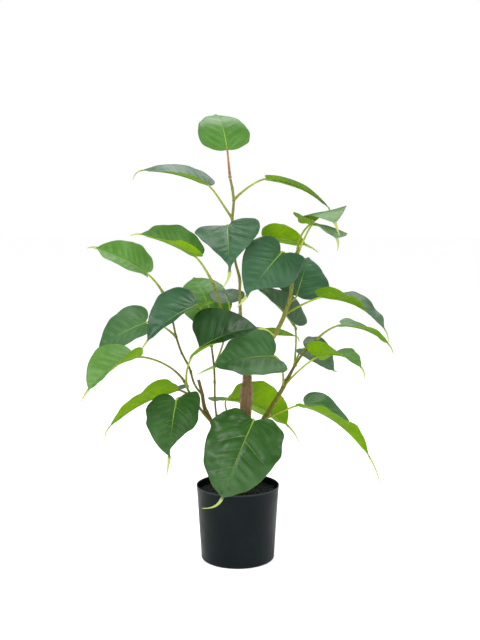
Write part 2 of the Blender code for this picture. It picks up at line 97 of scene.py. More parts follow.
def smooth_through(knots: Array, values: Array, at: Array) -> Array:
    """A curve that passes smoothly through given points.

    Each span is a cubic Hermite whose end slopes are the average slopes of the spans beside it,
    weighted so that the shorter span counts more.

    Args:
        knots: Rising parameter of each point.
        values: The points, one row each.
        at: Parameters to read the curve at.

    Returns:
        One row for each parameter.
    """
    values = values.reshape(len(knots), -1)
    steps = np.diff(knots)[:, None]
    slopes = np.diff(values, axis=0) / steps
    inner = (slopes[:-1] * steps[1:] + slopes[1:] * steps[:-1]) / (steps[:-1] + steps[1:])
    tangents = np.vstack([slopes[:1], inner, slopes[-1:]])
    span = np.clip(np.searchsorted(knots, at, side="right") - 1, 0, len(steps) - 1)
    size = steps[span]
    t = (at[:, None] - knots[span][:, None]) / size
    low, high = values[span], values[span + 1]
    start, end = tangents[span] * size, tangents[span + 1] * size
    return (
        (2 * t**3 - 3 * t**2 + 1) * low
        + (t**3 - 2 * t**2 + t) * start
        + (3 * t**2 - 2 * t**3) * high
        + (t**3 - t**2) * end
    )


def path_lengths(points: Array) -> Array:
    """Distance along a chain of points, from its first point to each."""
    return np.concatenate([[0.0], np.cumsum(np.linalg.norm(np.diff(points, axis=0), axis=1))])


def lattice_value(cells: Array, seed: float) -> Array:
    """A fixed pseudo-random number from 0 to 1 for each cell: the tail of a scrambled sine."""
    mixed = np.sin(cells @ SCRAMBLE + seed * SEED_SHIFT) * SCRAMBLE_GAIN
    return mixed - np.floor(mixed)


def value_noise(points: Array, size: float, seed: float) -> Array:
    """Smooth noise from -1 to 1: lattice values blended by the eased place in each cell.

    Args:
        points: Places, millimetres, in the last axis.
        size: Edge of a lattice cell, millimetres.
        seed: Any number; each gives another pattern.

    Returns:
        One value for each place.
    """
    scaled = points / size
    cell = np.floor(scaled)
    part = ease(0.0, 1.0, scaled - cell)
    total = np.zeros(scaled.shape[:-1])
    for corner in np.ndindex(2, 2, 2):
        weight = np.prod(np.where(corner, part, 1 - part), axis=-1)
        total += weight * lattice_value(cell + corner, seed)
    return total * 2 - 1


def flat_places(x: Array, y: Array) -> Array:
    """Places in the plane Z = 0."""
    return np.stack([x, y, np.zeros_like(x)], -1)


def carried_frames(points: Array, right: Array) -> tuple[Array, Array]:
    """Directions along a path whose sections don't turn about it.

    Args:
        points: The path.
        right: A direction to one side at its start.

    Returns:
        The right and the up of each section.
    """
    ways = unit(np.gradient(points, axis=0))
    rights = np.empty_like(ways)
    for k, way in enumerate(ways):
        rights[k] = right = across(right, way)
    return rights, np.cross(ways, rights)


def full_turn(count: int) -> Array:
    """Even angles round a circle."""
    return np.linspace(0, 2 * math.pi, count, endpoint=False)


def spokes_round(turns: Array, rights: Array, ups: Array) -> Array:
    """Outward directions cos turn * right + sin turn * up, sections by turns."""
    return np.cos(turns)[None, :, None] * rights[:, None] + np.sin(turns)[None, :, None] * ups[:, None]


# ---- Meshes


def skin_faces(rows: int, columns: int) -> Array:
    """Four-cornered faces over rings of points, each ring joined to itself and to the next.

    Args:
        rows: Number of rings.
        columns: Points in a ring.

    Returns:
        Point numbers, four in each row.
    """
    here = np.arange(columns)
    ahead = (here + 1) % columns
    base = (np.arange(rows - 1) * columns)[:, None]
    faces = np.stack([base + here, base + ahead, base + columns + ahead, base + columns + here], -1)
    return faces.reshape(-1, 4)


def cap_faces(rows: int, columns: int) -> Array:
    """Fans that shut the two ends of rings of points.

    Args:
        rows: Number of rings.
        columns: Points in a ring.

    Returns:
        Point numbers, three in each row; the two hubs come after the rings' own points.
    """
    here = np.arange(columns)
    ahead = (here + 1) % columns
    last = (rows - 1) * columns
    hub = np.full(columns, rows * columns)
    return np.vstack([np.stack([ahead, here, hub], -1), np.stack([last + here, last + ahead, hub + 1], -1)])


def make_piece(
    name: str,
    points: Array,
    faces: list[list[int]],
    marks: dict[str, Array],
    materials: list[Material],
    turned: Array | None = None,
) -> Piece:
    """Make an object from points in millimetres, with one number per point for each mark.

    Args:
        name: The object's name.
        points: Places, millimetres in the frame.
        faces: Point numbers of each face.
        marks: Attribute name to its values, one a point.
        materials: The finish, or one for each side.
        turned: For each face, whether it takes the second finish.

    Returns:
        The object, at the origin, riding on the plant's body.
    """
    mesh = bpy.data.meshes.new(name)
    mesh.from_pydata((points.reshape(-1, 3) * MM).tolist(), [], faces)
    for mark, values in marks.items():
        attribute = mesh.attributes.new(mark, "FLOAT", "POINT")
        attribute.data.foreach_set("value", np.ravel(values).astype(np.float32))
    for material in materials:
        mesh.materials.append(material)
    if turned is not None:
        mesh.polygons.foreach_set("material_index", turned.astype(np.int32))
    mesh.shade_smooth()
    mesh.update()
    piece = bpy.data.objects.new(name, mesh)
    bpy.context.scene.collection.objects.link(piece)
    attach(piece, BODY)
    return piece


def make_loft(
    name: str,
    rings: Array,
    marks: dict[str, Array],
    materials: list[Material],
    back: int | None = None,
) -> Piece:
    """Make a closed solid from rings of points, each end shut by a fan about its middle.

    Args:
        name: The object's name.
        rings: Sections, then points, then X, Y, Z, in millimetres.
        marks: Attribute name to its values, one a point of the rings.
        materials: The finish, or one for each side.
        back: The point of a ring from which the second finish starts.

    Returns:
        The object.
    """
    rows, columns, _ = rings.shape
    points = np.vstack([rings.reshape(-1, 3), rings[0].mean(0), rings[-1].mean(0)])
    faces = skin_faces(rows, columns).tolist() + cap_faces(rows, columns).tolist()
    full = {
        mark: np.concatenate([np.ravel(values), [values[0].mean(), values[-1].mean()]])
        for mark, values in marks.items()
    }
    turned = None if back is None else np.tile(np.arange(columns) >= back, rows + 1)
    return make_piece(name, points, faces, full, materials, turned)


# ---- Finishes


class Signal:
    """A node's output, which takes part in ordinary arithmetic."""

    def __init__(self, recipe: "Recipe", socket: bpy.types.NodeSocket) -> None:
        """Wrap an output of one of a recipe's nodes."""
        self.recipe = recipe
        self.socket = socket

    def __add__(self, other: "Value") -> "Signal":
        """The sum."""
        return self.recipe.calc("ADD", self, other)

    def __sub__(self, other: "Value") -> "Signal":
        """The difference."""
        return self.recipe.calc("SUBTRACT", self, other)

    def __mul__(self, other: "Value") -> "Signal":
        """The product."""
        return self.recipe.calc("MULTIPLY", self, other)

    def __truediv__(self, other: "Value") -> "Signal":
        """The quotient."""
        return self.recipe.calc("DIVIDE", self, other)

    def __abs__(self) -> "Signal":
        """The size without its sign."""
        return self.recipe.calc("ABSOLUTE", self)


Value = Signal | float | tuple


class Recipe:
    """A Principled material, and short ways to add the nodes that feed it."""

    def __init__(self, name: str) -> None:
        """Make the material.

        Args:
            name: The material's name.
        """
        self.material = bpy.data.materials.new(name)
        self.material.use_nodes = True
        self.tree = self.material.node_tree
        self.shader = self.tree.nodes["Principled BSDF"]

    def add(
        self, kind: str, output: str | int, feeds: dict[str | int, Value], **settings: object
    ) -> Signal:
        """Add a node.

        Args:
            kind: The node's type name, without its ShaderNode prefix.
            output: The output to read.
            feeds: Input name or number to a signal or a value.
            settings: Properties to set first.

        Returns:
            The output.
        """
        node = self.tree.nodes.new("ShaderNode" + kind)
        for key, setting in settings.items():
            setattr(node, key, setting)
        for key, value in feeds.items():
            self.feed(node.inputs[key], value)
        return Signal(self, node.outputs[output])

    def feed(self, socket: bpy.types.NodeSocket, value: Value) -> None:
        """Link a signal into a socket, or set the socket's own value.

        Args:
            socket: The socket to feed.
            value: The signal, number, colour or vector.
        """
        if isinstance(value, Signal):
            self.tree.links.new(value.socket, socket)
        elif socket.type == "RGBA":
            socket.default_value = (*value, 1.0)
        else:
            socket.default_value = value

    def into(self, **feeds: Value) -> Material:
        """Feed the shader's own sockets.

        Args:
            feeds: Socket name, with an underscore for each space, to a signal or a value.

        Returns:
            The material.
        """
        for key, value in feeds.items():
            self.feed(self.shader.inputs[key.replace("_", " ")], value)
        return self.material

    def mark(self, name: str) -> Signal:
        """One number per point of the mesh."""
        return self.add("Attribute", "Fac", {}, attribute_name=name)

    def places(self, scale: Point = (1.0, 1.0, 1.0)) -> Signal:
        """Object coordinates, stretched or shrunk along each axis."""
        source = self.add("TexCoord", "Object", {})
        return self.add("Mapping", "Vector", {"Vector": source, "Scale": scale})

    def sheet(self, first: Signal, second: Signal) -> Signal:
        """A vector whose X and Y are two numbers."""
        return self.add("CombineXYZ", "Vector", {"X": first, "Y": second})

    def calc(self, operation: str, first: Value, second: Value = 0.0) -> Signal:
        """Arithmetic on two numbers."""
        return self.add("Math", 0, {0: first, 1: second}, operation=operation)

    def step(self, value: Value, low: Value, high: Value, start: float = 0.0, end: float = 1.0) -> Signal:
        """Smooth step from start at low to end at high."""
        feeds = {"Value": value, "From Min": low, "From Max": high, "To Min": start, "To Max": end}
        return self.add("MapRange", "Result", feeds, interpolation_type="SMOOTHSTEP")

    def blend(self, share: Value, first: Value, second: Value, mode: str = "MIX") -> Signal:
        """Blend two colours."""
        feeds = {0: share, 6: first, 7: second}
        return self.add("Mix", 2, feeds, data_type="RGBA", blend_type=mode)

    def noise(self, where: Signal, scale: float, detail: float = 3.0, roughness: float = 0.55) -> Signal:
        """Fractal noise from 0 to 1."""
        feeds = {"Vector": where, "Scale": scale, "Detail": detail, "Roughness": roughness}
        return self.add("TexNoise", "Fac", feeds)

    def cells(self, where: Signal, scale: float, feature: str = "F1") -> Signal:
        """Distance to the middle (F1) or to the edge of scattered cells."""
        return self.add("TexVoronoi", "Distance", {"Vector": where, "Scale": scale}, feature=feature)

    def line(self, phase: Signal, half_width: Signal, soft: float) -> Signal:
        """1 on whole numbers of a phase and 0 away from them.

        Args:
            phase: A number that grows across the lines.
            half_width: Half of a line's width, in the phase's units.
            soft: How many half widths the line takes to fade.

        Returns:
            The share of line.
        """
        away = abs(self.calc("FRACT", phase + 0.5) - 0.5)
        return self.step(away, half_width, half_width * soft, 1.0, 0.0)

    def bump(self, height: Signal, depth: float, strength: Value) -> Signal:
        """A normal bent by a height.

        Args:
            height: The height, from 0 to 1.
            depth: Metres from height 0 to height 1.
            strength: How much of it shows.

        Returns:
            The normal.
        """
        return self.add("Bump", "Normal", {"Height": height, "Distance": depth, "Strength": strength})


@dataclass(frozen=True)
class LeafTone:
    """Colours of one shade of leaf, and how rough its upper side is."""

    # The first two colours are the upper side's paler and darker random patches, and also a painted
    # highlight on the pucker crowns and painted shade in their hollows.
    light_patch_and_lit_crown: Colour
    dark_patch_and_shaded_hollow: Colour
    vein: Colour
    rib: Colour
    # The under side's colours are its own paler green, made brighter still by painted light that shines
    # through the leaf.
    under: Colour
    under_shade: Colour
    under_vein: Colour
    tip: Colour
    roughness: float


class Tone(Enum):
    """Shades of leaf, from the soft new ones to the old dark ones, then a grey and a pale one; DARK also
    holds painted shade, and GREY and PALE a painted greyish sheen.
    """

    YOUNG = LeafTone(
        (0.138, 0.318, 0.068), (0.085, 0.228, 0.026), (0.250, 0.440, 0.085), (0.360, 0.520, 0.100),
        (0.190, 0.360, 0.004), (0.120, 0.270, 0.002), (0.270, 0.440, 0.020), (0.425, 0.505, 0.130), 0.42,
    )
    FRESH = LeafTone(
        (0.098, 0.245, 0.046), (0.056, 0.172, 0.018), (0.200, 0.390, 0.075), (0.330, 0.500, 0.090),
        (0.185, 0.350, 0.004), (0.118, 0.262, 0.002), (0.265, 0.430, 0.020), (0.425, 0.505, 0.130), 0.40,
    )
    MIDDLE = LeafTone(
        (0.080, 0.188, 0.066), (0.042, 0.124, 0.036), (0.170, 0.340, 0.080), (0.290, 0.460, 0.080),
        (0.185, 0.350, 0.003), (0.118, 0.262, 0.001), (0.265, 0.430, 0.015), (0.405, 0.485, 0.125), 0.38,
    )
    MATURE = LeafTone(
        (0.052, 0.138, 0.070), (0.026, 0.088, 0.038), (0.160, 0.320, 0.080), (0.290, 0.450, 0.080),
        (0.185, 0.350, 0.003), (0.118, 0.262, 0.001), (0.265, 0.430, 0.015), (0.405, 0.485, 0.125), 0.36,
    )
    DEEP = LeafTone(
        (0.036, 0.112, 0.022), (0.017, 0.068, 0.009), (0.150, 0.320, 0.055), (0.290, 0.460, 0.065),
        (0.150, 0.300, 0.006), (0.095, 0.220, 0.003), (0.230, 0.400, 0.020), (0.405, 0.485, 0.120), 0.33,
    )
    # Partly painted shade: darker still, for a leaf whose side lies in shadow.
    DARK = LeafTone(
        (0.024, 0.082, 0.023), (0.006, 0.031, 0.004), (0.100, 0.230, 0.055), (0.230, 0.390, 0.060),
        (0.150, 0.300, 0.006), (0.090, 0.210, 0.003), (0.220, 0.390, 0.020), (0.405, 0.485, 0.125), 0.34,
    )
    # Painted sheen: the greyish sheen of leaves that face up.
    GREY = LeafTone(
        (0.088, 0.165, 0.092), (0.050, 0.118, 0.052), (0.200, 0.330, 0.150), (0.320, 0.460, 0.130),
        (0.165, 0.325, 0.004), (0.105, 0.240, 0.002), (0.250, 0.410, 0.020), (0.405, 0.485, 0.125), 0.40,
    )
    # Partly painted sheen: the pale, greyish sheen of leaves that face up.
    PALE = LeafTone(
        (0.180, 0.325, 0.145), (0.115, 0.245, 0.090), (0.250, 0.400, 0.150), (0.350, 0.500, 0.130),
        (0.190, 0.350, 0.006), (0.120, 0.265, 0.004), (0.260, 0.425, 0.025), (0.415, 0.495, 0.130), 0.42,
    )


@dataclass(frozen=True)
class VeinLook:
    """Sizes of a leaf's veins.

    A pair is a half width near the midrib or the base and one at the far end. A side vein's is a
    share of the gap between veins, and the midrib's is in units of the mark "flat_across".
    """

    wander_scale: float = 60.0
    wander: float = 0.16
    laterals: Pair = (0.015, 0.008)
    lateral_softness: float = 2.2
    fans: Pair = (0.0036, 0.0018)
    fan_softness: float = 1.9
    fan_hub: float = 0.03
    rib: Pair = (0.0042, 0.0014)
    rib_softness: float = 1.6
    net_scale: float = 42.0
    net_width: float = 0.12


@dataclass(frozen=True)
class LeafFinish:
    """A leaf blade: netted veins on both sides, puckers between them and a pale drip tip."""

    shade: Tone
    look: VeinLook = VeinLook()
    patch_scale: float = 28.0
    grain_scale: float = 420.0
    grain: Colour = (0.02, 0.05, 0.01)
    vein_depth: float = 0.00007
    under_roughness: Pair = (0.52, 0.68)

    def make(self) -> list[Material]:
        """Build the materials of the upper and the under side."""
        return [self.upper(), self.under()]

    def veins(self, recipe: Recipe) -> tuple[Signal, Signal, Signal]:
        """The shares of side vein, of midrib and of the fine net between them.

        The lateral veins lie where the mark "lateral" is a whole number, and the veins that fan
        out from the stalk where "fan" is one. Both fade towards the margin and the apex.

        Args:
            recipe: The material to add them to.

        Returns:
            The three shares.
        """
        look = self.look
        edge, strength, station = (recipe.mark(name) for name in ("edge", "strength", "station"))
        shift = (recipe.noise(recipe.places(), look.wander_scale, 2.0) - 0.5) * look.wander
        width = recipe.step(edge, 0.0, 0.8, *look.laterals)
        lateral = recipe.line(recipe.mark("lateral") + shift, width, look.lateral_softness)
        width = recipe.step(edge, 0.0, 0.8, *look.fans) / (recipe.mark("reach") + look.fan_hub)
        fan = recipe.line(recipe.mark("fan") + shift * 0.5, width, look.fan_softness)
        vein = recipe.blend(recipe.mark("lateral_zone"), fan, lateral)
        outward = recipe.step(edge + shift - strength * 0.45, -0.15, 0.85, 1.0, 0.05)
        forward = recipe.step(station, 0.35, 0.95, 1.0, 0.30)
        vein = vein * (outward * forward * strength)
        across_rib, along_rib = recipe.mark("flat_across"), recipe.mark("flat_along")
        half = recipe.step(station, 0.0, 1.0, *look.rib)
        rib = recipe.step(abs(across_rib), half, half * look.rib_softness, 1.0, 0.0)
        walls = recipe.cells(recipe.sheet(across_rib, along_rib), look.net_scale, "DISTANCE_TO_EDGE")
        return vein, rib, recipe.step(walls, 0.0, look.net_width, 1.0, 0.0)

    def margin(self, recipe: Recipe, colour: Signal) -> Signal:
        """Lay a pale margin and drip tip, and a dark grain, over a side's colour.

        Args:
            recipe: The material to add them to.
            colour: The side's colour.

        Returns:
            The colour with them.
        """
        pale = self.shade.value.tip
        colour = recipe.blend(recipe.step(recipe.mark("edge"), 0.975, 0.995, 0.0, 0.15), colour, pale)
        colour = recipe.blend(recipe.step(recipe.mark("tip"), 0.02, 0.16), colour, pale)
        grain = recipe.noise(recipe.places(), self.grain_scale)
        return recipe.blend(recipe.step(grain, 0.3, 0.7, 0.0, 0.10), colour, self.grain)

    def upper(self) -> Material:
        """Build the upper side: puckers with painted light on their crowns and painted shade in their
        hollows, softly glossy, with sunken veins.

        Returns:
            The material.
        """
        tone = self.shade.value
        recipe = Recipe(f"leaf_{self.shade.name.lower()}_upper")
        vein, rib, net = self.veins(recipe)
        patches = recipe.noise(recipe.places(), self.patch_scale)
        # Painted light and shade: the pucker mark makes the crowns paler and the hollows darker, on top of
        # random patches.
        lift = recipe.mark("pucker") * 0.35 + patches
        colour = recipe.blend(recipe.step(lift, 0.45, 0.95), tone.dark_patch_and_shaded_hollow, tone.light_patch_and_lit_crown)
        colour = recipe.blend(net * 0.07, colour, tone.vein)
        colour = recipe.blend(vein * 0.90, colour, tone.vein)
        fading = recipe.step(recipe.mark("station"), 0.20, 0.80, 1.0, 0.05)
        colour = recipe.blend(rib * fading, colour, tone.rib)
        rough = recipe.step(patches, 0.2, 0.8, tone.roughness - 0.07, tone.roughness + 0.07)
        sunken = recipe.bump(net * 0.4 + vein * 0.9, -self.vein_depth, recipe.mark("relief") * 0.5)
        colour = self.margin(recipe, colour)
        return recipe.into(Base_Color=colour, Roughness=rough, Normal=sunken, Specular_IOR_Level=0.27)

    def under(self) -> Material:
        """Build the under side: dull, with raised paler veins, and bright, partly by painted light shining
        through the leaf.

        Returns:
            The material.
        """
        tone = self.shade.value
        recipe = Recipe(f"leaf_{self.shade.name.lower()}_under")
        vein, rib, net = self.veins(recipe)
        patches = recipe.noise(recipe.places(), self.patch_scale)
        # Painted light: the under colours carry the glow of light shining through the leaf.
        colour = recipe.blend(recipe.step(patches, 0.35, 0.68), tone.under_shade, tone.under)
        for share in (net * 0.14, vein * 0.6, rib * 0.8):
            colour = recipe.blend(share, colour, tone.under_vein)
        rough = recipe.step(patches, 0.2, 0.8, *self.under_roughness)
        raised = recipe.bump(vein - net * 0.4, self.vein_depth, recipe.mark("relief") * 0.5)
        colour = self.margin(recipe, colour)
        return recipe.into(Base_Color=colour, Roughness=rough, Normal=raised, Specular_IOR_Level=0.05)


@dataclass(frozen=True)
class StalkFinish:
    """A ribbed, slightly glossy stalk, with its own colour at the stem's end and a green midrib."""

    name: str
    colour: Colour
    stem_end: Colour
    midrib: Colour = (0.250, 0.400, 0.050)
    shade: Colour = (0.62, 0.62, 0.45)
    rib_scale: float = 9.0
    rib_depth: float = 0.00025
    patch_scale: float = 90.0

    def make(self) -> Material:
        """Build the material: fine lengthwise ribs, with painted shade in the hollows between them and
        darker random patches.

        Returns:
            The material.
        """
        recipe = Recipe(self.name)
        station = recipe.mark("station")
        ribs = recipe.noise(recipe.sheet(recipe.mark("turn"), station * 2.0), self.rib_scale, 2.0)
        patches = recipe.noise(recipe.places(), self.patch_scale, 2.0)
        colour = recipe.blend(recipe.step(station, 0.05, 0.65), self.stem_end, self.colour)
        colour = recipe.blend(recipe.step(station, 0.99, 1.06), colour, self.midrib)
        # Painted shade: the hollows between the ribs, and low random patches, take the darker colour.
        deep = recipe.blend(1.0, colour, self.shade, "MULTIPLY")
        colour = recipe.blend(recipe.step(ribs + patches, 0.75, 1.3), deep, colour)
        rough = recipe.step(patches, 0.2, 0.8, 0.38, 0.55)
        ribbed = recipe.bump(ribs, self.rib_depth, 0.8)
        return recipe.into(Base_Color=colour, Roughness=rough, Normal=ribbed, Specular_IOR_Level=0.14)


class Stalk(Enum):
    """Kinds of stalk."""

    GREEN = StalkFinish("stalk_green", (0.400, 0.520, 0.050), (0.300, 0.350, 0.050))
    OLIVE = StalkFinish("stalk_olive", (0.230, 0.300, 0.030), (0.165, 0.180, 0.028))
    RED = StalkFinish("stalk_red", (0.480, 0.210, 0.100), (0.330, 0.170, 0.070))
    BROWN = StalkFinish("stalk_brown", (0.260, 0.210, 0.065), (0.170, 0.115, 0.045))


@dataclass(frozen=True)
class BarkFinish:
    """Bark with a dotted band of painted shade up the front, paler sides and a reddish foot."""

    name: str
    pale: Colour
    front_shade: Colour
    dots: Colour
    foot: Colour = (0.150, 0.066, 0.040)
    fineness: float = 1.9
    fissure_scale: float = 420.0
    fissure_drawn: Point = (1.0, 1.0, 0.22)
    patch_scale: float = 70.0
    dot_scale: float = 330.0
    dot_drawn: Point = (1.0, 1.0, 0.55)
    depth: float = 0.0009

    def make(self) -> Material:
        """Build the material: noise drawn out along Z for fissures, cells for the dots.

        Returns:
            The material.
        """
        recipe = Recipe(self.name)
        drawn = recipe.places(self.fissure_drawn)
        fissures = recipe.noise(drawn, self.fissure_scale * self.fineness, 4.0, 0.65)
        patches = recipe.noise(recipe.places(), self.patch_scale * self.fineness)
        # Painted shade: the mark darkens the bark where it faces the front, leaving the sides paler.
        ragged = recipe.mark("front_shade") + (patches - 0.5) * 0.9
        colour = recipe.blend(recipe.step(ragged, 0.25, 0.85), self.pale, self.front_shade)
        colour = recipe.blend(recipe.step(fissures, 0.60, 0.38, 0.0, 0.50), colour, self.dots)
        cells = recipe.cells(recipe.places(self.dot_drawn), self.dot_scale * self.fineness)
        dots = recipe.step(cells, 0.10, 0.30, 1.0, 0.0) * recipe.step(patches, 0.40, 0.62)
        colour = recipe.blend(dots * 0.7, colour, self.dots)
        colour = recipe.blend(recipe.mark("foot"), colour, self.foot)
        rough = recipe.step(fissures, 0.3, 0.7, 0.88, 0.66)
        cracked = recipe.bump(fissures - dots * 0.4, self.depth, 0.85)
        return recipe.into(Base_Color=colour, Roughness=rough, Normal=cracked, Specular_IOR_Level=0.1)


class Bark(Enum):
    """Kinds of bark: the trunk's, and those of young, older and cut stems."""

    TRUNK = BarkFinish(
        "trunk_bark", (0.300, 0.232, 0.132), (0.185, 0.122, 0.062), (0.075, 0.044, 0.024), fineness=1.0
    )
    TWIG = BarkFinish("twig_bark", (0.345, 0.395, 0.075), (0.245, 0.245, 0.055), (0.100, 0.070, 0.024))
    OLIVE = BarkFinish("olive_bark", (0.215, 0.230, 0.034), (0.155, 0.142, 0.028), (0.060, 0.045, 0.016))
    BROWN = BarkFinish("brown_bark", (0.200, 0.180, 0.050), (0.130, 0.098, 0.032), (0.060, 0.038, 0.016))


@dataclass(frozen=True)
class PotFinish:
    """Moulded nursery plastic: charcoal, with paler patches of dust and painted sheen, finely speckled, and
    a painted highlight on the lip.
    """

    body: Colour = (0.0018, 0.0052, 0.0064)
    dust_and_sheen: Colour = (0.0064, 0.0118, 0.0132)
    speck_and_lip_highlight: Colour = (0.046, 0.053, 0.057)
    grain_scale: float = 1500.0
    grain_depth: float = 0.00018
    dust_and_sheen_scale: float = 22.0
    speck_scale: float = 620.0

    def make(self) -> Material:
        """Build the material: fine moulded grain, dull patches of dust and painted sheen, and a painted
        highlight on the lip.

        Returns:
            The material.
        """
        recipe = Recipe("nursery_plastic")
        place = recipe.places()
        grain = recipe.noise(place, self.grain_scale, 2.0)
        dust_and_sheen_patches = recipe.noise(place, self.dust_and_sheen_scale, 4.0)
        cells = recipe.cells(place, self.speck_scale)
        specks = recipe.step(cells, 0.06, 0.20, 1.0, 0.0) * recipe.step(dust_and_sheen_patches, 0.45, 0.7)
        # Paler patches: partly dust and partly painted sheen.
        colour = recipe.blend(recipe.step(dust_and_sheen_patches, 0.40, 0.78, 0.0, 0.55), self.body, self.dust_and_sheen)
        colour = recipe.blend(specks * 0.35, colour, self.speck_and_lip_highlight)
        # Painted highlight: the lip mark lightens the top of the rolled lip.
        colour = recipe.blend(recipe.mark("lip"), colour, self.speck_and_lip_highlight)
        rough = recipe.step(dust_and_sheen_patches, 0.3, 0.75, 0.36, 0.56)
        grained = recipe.bump(grain, self.grain_depth, 0.7)
        return recipe.into(Base_Color=colour, Roughness=rough, Normal=grained, Specular_IOR_Level=0.11)


@dataclass(frozen=True)
class SoilFinish:
    """Dark compost, darker where its grains sink and paler where they rise."""

    sunken_grain: Colour = (0.0014, 0.0030, 0.0038)
    raised_grain: Colour = (0.0052, 0.0092, 0.0106)
    coarse_scale: float = 210.0
    fine_scale: float = 1300.0
    grain_depth: float = 0.0012

    def make(self) -> Material:
        """Build the material: grains of two sizes, the raised ones paler.

        Returns:
            The material.
        """
        recipe = Recipe("compost")
        place = recipe.places()
        coarse = recipe.noise(place, self.coarse_scale, 4.0, 0.7)
        fine = recipe.noise(place, self.fine_scale, 3.0, 0.7)
        grains = coarse * 0.7 + fine * 0.3
        colour = recipe.blend(recipe.step(grains, 0.42, 0.66), self.sunken_grain, self.raised_grain)
        rough = recipe.step(fine, 0.3, 0.7, 0.95, 0.75)
        grained = recipe.bump(grains, self.grain_depth, 0.9)
        return recipe.into(Base_Color=colour, Roughness=rough, Normal=grained)


# ---- Stems


@dataclass(frozen=True)
class StemPlan:
    """A stem's middle line and the radius at each of its points, from its foot up.

    A stem with a carrier starts inside the carrier, at a height on it; one without runs on
    downwards from its first point by its root length. Joints are given by their heights. A cut
    stem ends in a flat face.
    """

    node: str
    points: tuple[Point, ...]
    radii: tuple[float, ...]
    carrier: str | None = None
    height: float = 0.0
    root: float = 6.0
    joints: tuple[float, ...] = ()
    bark: Bark = Bark.TWIG
    cut: bool = False


TRUNK = StemPlan(
    "trunk",
    ((2.5, 2, 40.8), (4, 2, 101), (8, 1, 150), (11.4, 0, 214), (13.3, 0, 256), (13.8, 0, 268),
     (14, 0, 290)),
    (10.0, 9.4, 9.0, 8.8, 8.9, 6.9, 6.7), root=0.0, joints=(128, 147, 178, 193, 231, 258, 270),
    bark=Bark.TRUNK,
)
STEMS = (
    StemPlan(
        "leader",
        ((11.5, 3, 290.4), (11.3, 3, 299), (8, 2, 319), (5, 1, 350), (4, 1, 365), (3, 2, 399), (3, 3, 414),
         (-3, 5, 438), (-8, 8, 499), (-6, 8, 531), (-7, 8, 541), (-11, 7, 561)),
        (2.3, 2.3, 2.2, 2.2, 2.4, 2.0, 2.1, 1.9, 2.0, 1.9, 1.9, 1.7),
        joints=(335, 362, 388, 412, 445, 470, 503, 529, 545),
    ),
    StemPlan(
        "branch_left_inner",
        ((10.3, -3, 290.4), (10, -3.4, 298), (2, -6, 315), (-10, -10, 342), (-23, -21, 372),
         (-28, -28, 389), (-35, -37, 412)),
        (2.2, 2.2, 2.1, 2.0, 1.9, 1.8, 1.7), joints=(322, 356, 388, 404),
    ),
    StemPlan(
        "branch_right_inner",
        ((17.2, -0.6, 290.9), (18.5, -0.6, 296), (33, 0, 308), (48, 0, 325), (66, 0, 358), (76, 0, 388),
         (80, 0, 420), (87, 0, 458)),
        (3.2, 3.2, 3.3, 3.2, 3.2, 2.8, 2.5, 2.4), joints=(312, 340, 364, 379, 403, 425, 450),
    ),
    StemPlan(
        "branch_right_lower",
        ((28, -2, 194), (37, -3, 208), (62, -5, 249), (70, -5, 264), (82, 2, 285), (101, 16, 310),
         (117, 28, 323)),
        (3.5, 3.4, 3.1, 3.1, 2.0, 1.7, 1.5), "trunk", 160, joints=(190, 210, 233, 258, 268, 287, 304),
        bark=Bark.OLIVE,
    ),
    StemPlan(
        "branch_left_cut",
        ((-4, -5, 155), (-16, -7, 170), (-29, -8, 188), (-41, -9, 212), (-48, -10, 227), (-52, -11, 249),
         (-57, -12, 269)),
        (3.4, 3.3, 3.2, 3.0, 3.0, 2.5, 2.3), "trunk", 146, joints=(168, 183, 205, 222, 246),
        bark=Bark.BROWN, cut=True,
    ),
    StemPlan(
        "branch_left_lower",
        ((-50, -14, 221), (-58, -15, 232), (-71, -16, 253), (-77, -16, 267)),
        (2.1, 2.0, 1.8, 1.7), "branch_left_cut", 205, joints=(238, 247, 259), bark=Bark.OLIVE,
    ),
    StemPlan(
        "twig_left",
        ((-62, -15, 262), (-71, -9, 288), (-82, -2, 308), (-91, 9, 332), (-96, 20, 351), (-112, 42, 392)),
        (1.6, 1.6, 1.6, 1.5, 1.5, 1.4), "branch_left_cut", 246, joints=(280, 306, 330, 356, 378),
        bark=Bark.OLIVE,
    ),
    StemPlan(
        "stem_upright",
        ((-29, -1, 199), (-32, 0, 218), (-35, -2, 290), (-38, -4, 316)),
        (1.6, 1.5, 1.5, 1.4), "branch_left_cut", 183, joints=(214, 240, 264, 286, 302), bark=Bark.OLIVE,
    ),
)


class Route:
    """A stem's smooth middle line, sampled at a spacing in millimetres."""

    SPACING = 1.1
    FEWEST = 16

    def __init__(self, plan: StemPlan, first: Array | None) -> None:
        """Sample the line finely.

        Args:
            plan: The stem.
            first: Its seat inside its carrier, if it has one.
        """
        points = np.array(plan.points, float)
        radii = np.array(plan.radii, float)
        if first is None and plan.root:
            first = points[0] - unit(points[1] - points[0]) * plan.root
        if first is not None:
            points = np.vstack([first, points])
            radii = np.append(radii[0], radii)
        knots = path_lengths(points)
        self.length = knots[-1]
        self.at = np.linspace(0.0, self.length, max(self.FEWEST, int(self.length / self.SPACING)))
        self.points = smooth_through(knots, points, self.at)
        self.radii = smooth_through(knots, radii, self.at)[:, 0]

    def seat(self, height: float) -> tuple[Array, Array, float]:
        """Where the line passes a height.

        Args:
            height: The height, or 0 for the line's end.

        Returns:
            Point, direction and radius.
        """
        end = len(self.at) - 1
        k = int(np.argmin(np.abs(self.points[:, 2] - height))) if height else end
        before, after = max(k - 1, 0), min(k + 1, end)
        return self.points[k], unit(self.points[after] - self.points[before]), float(self.radii[k])


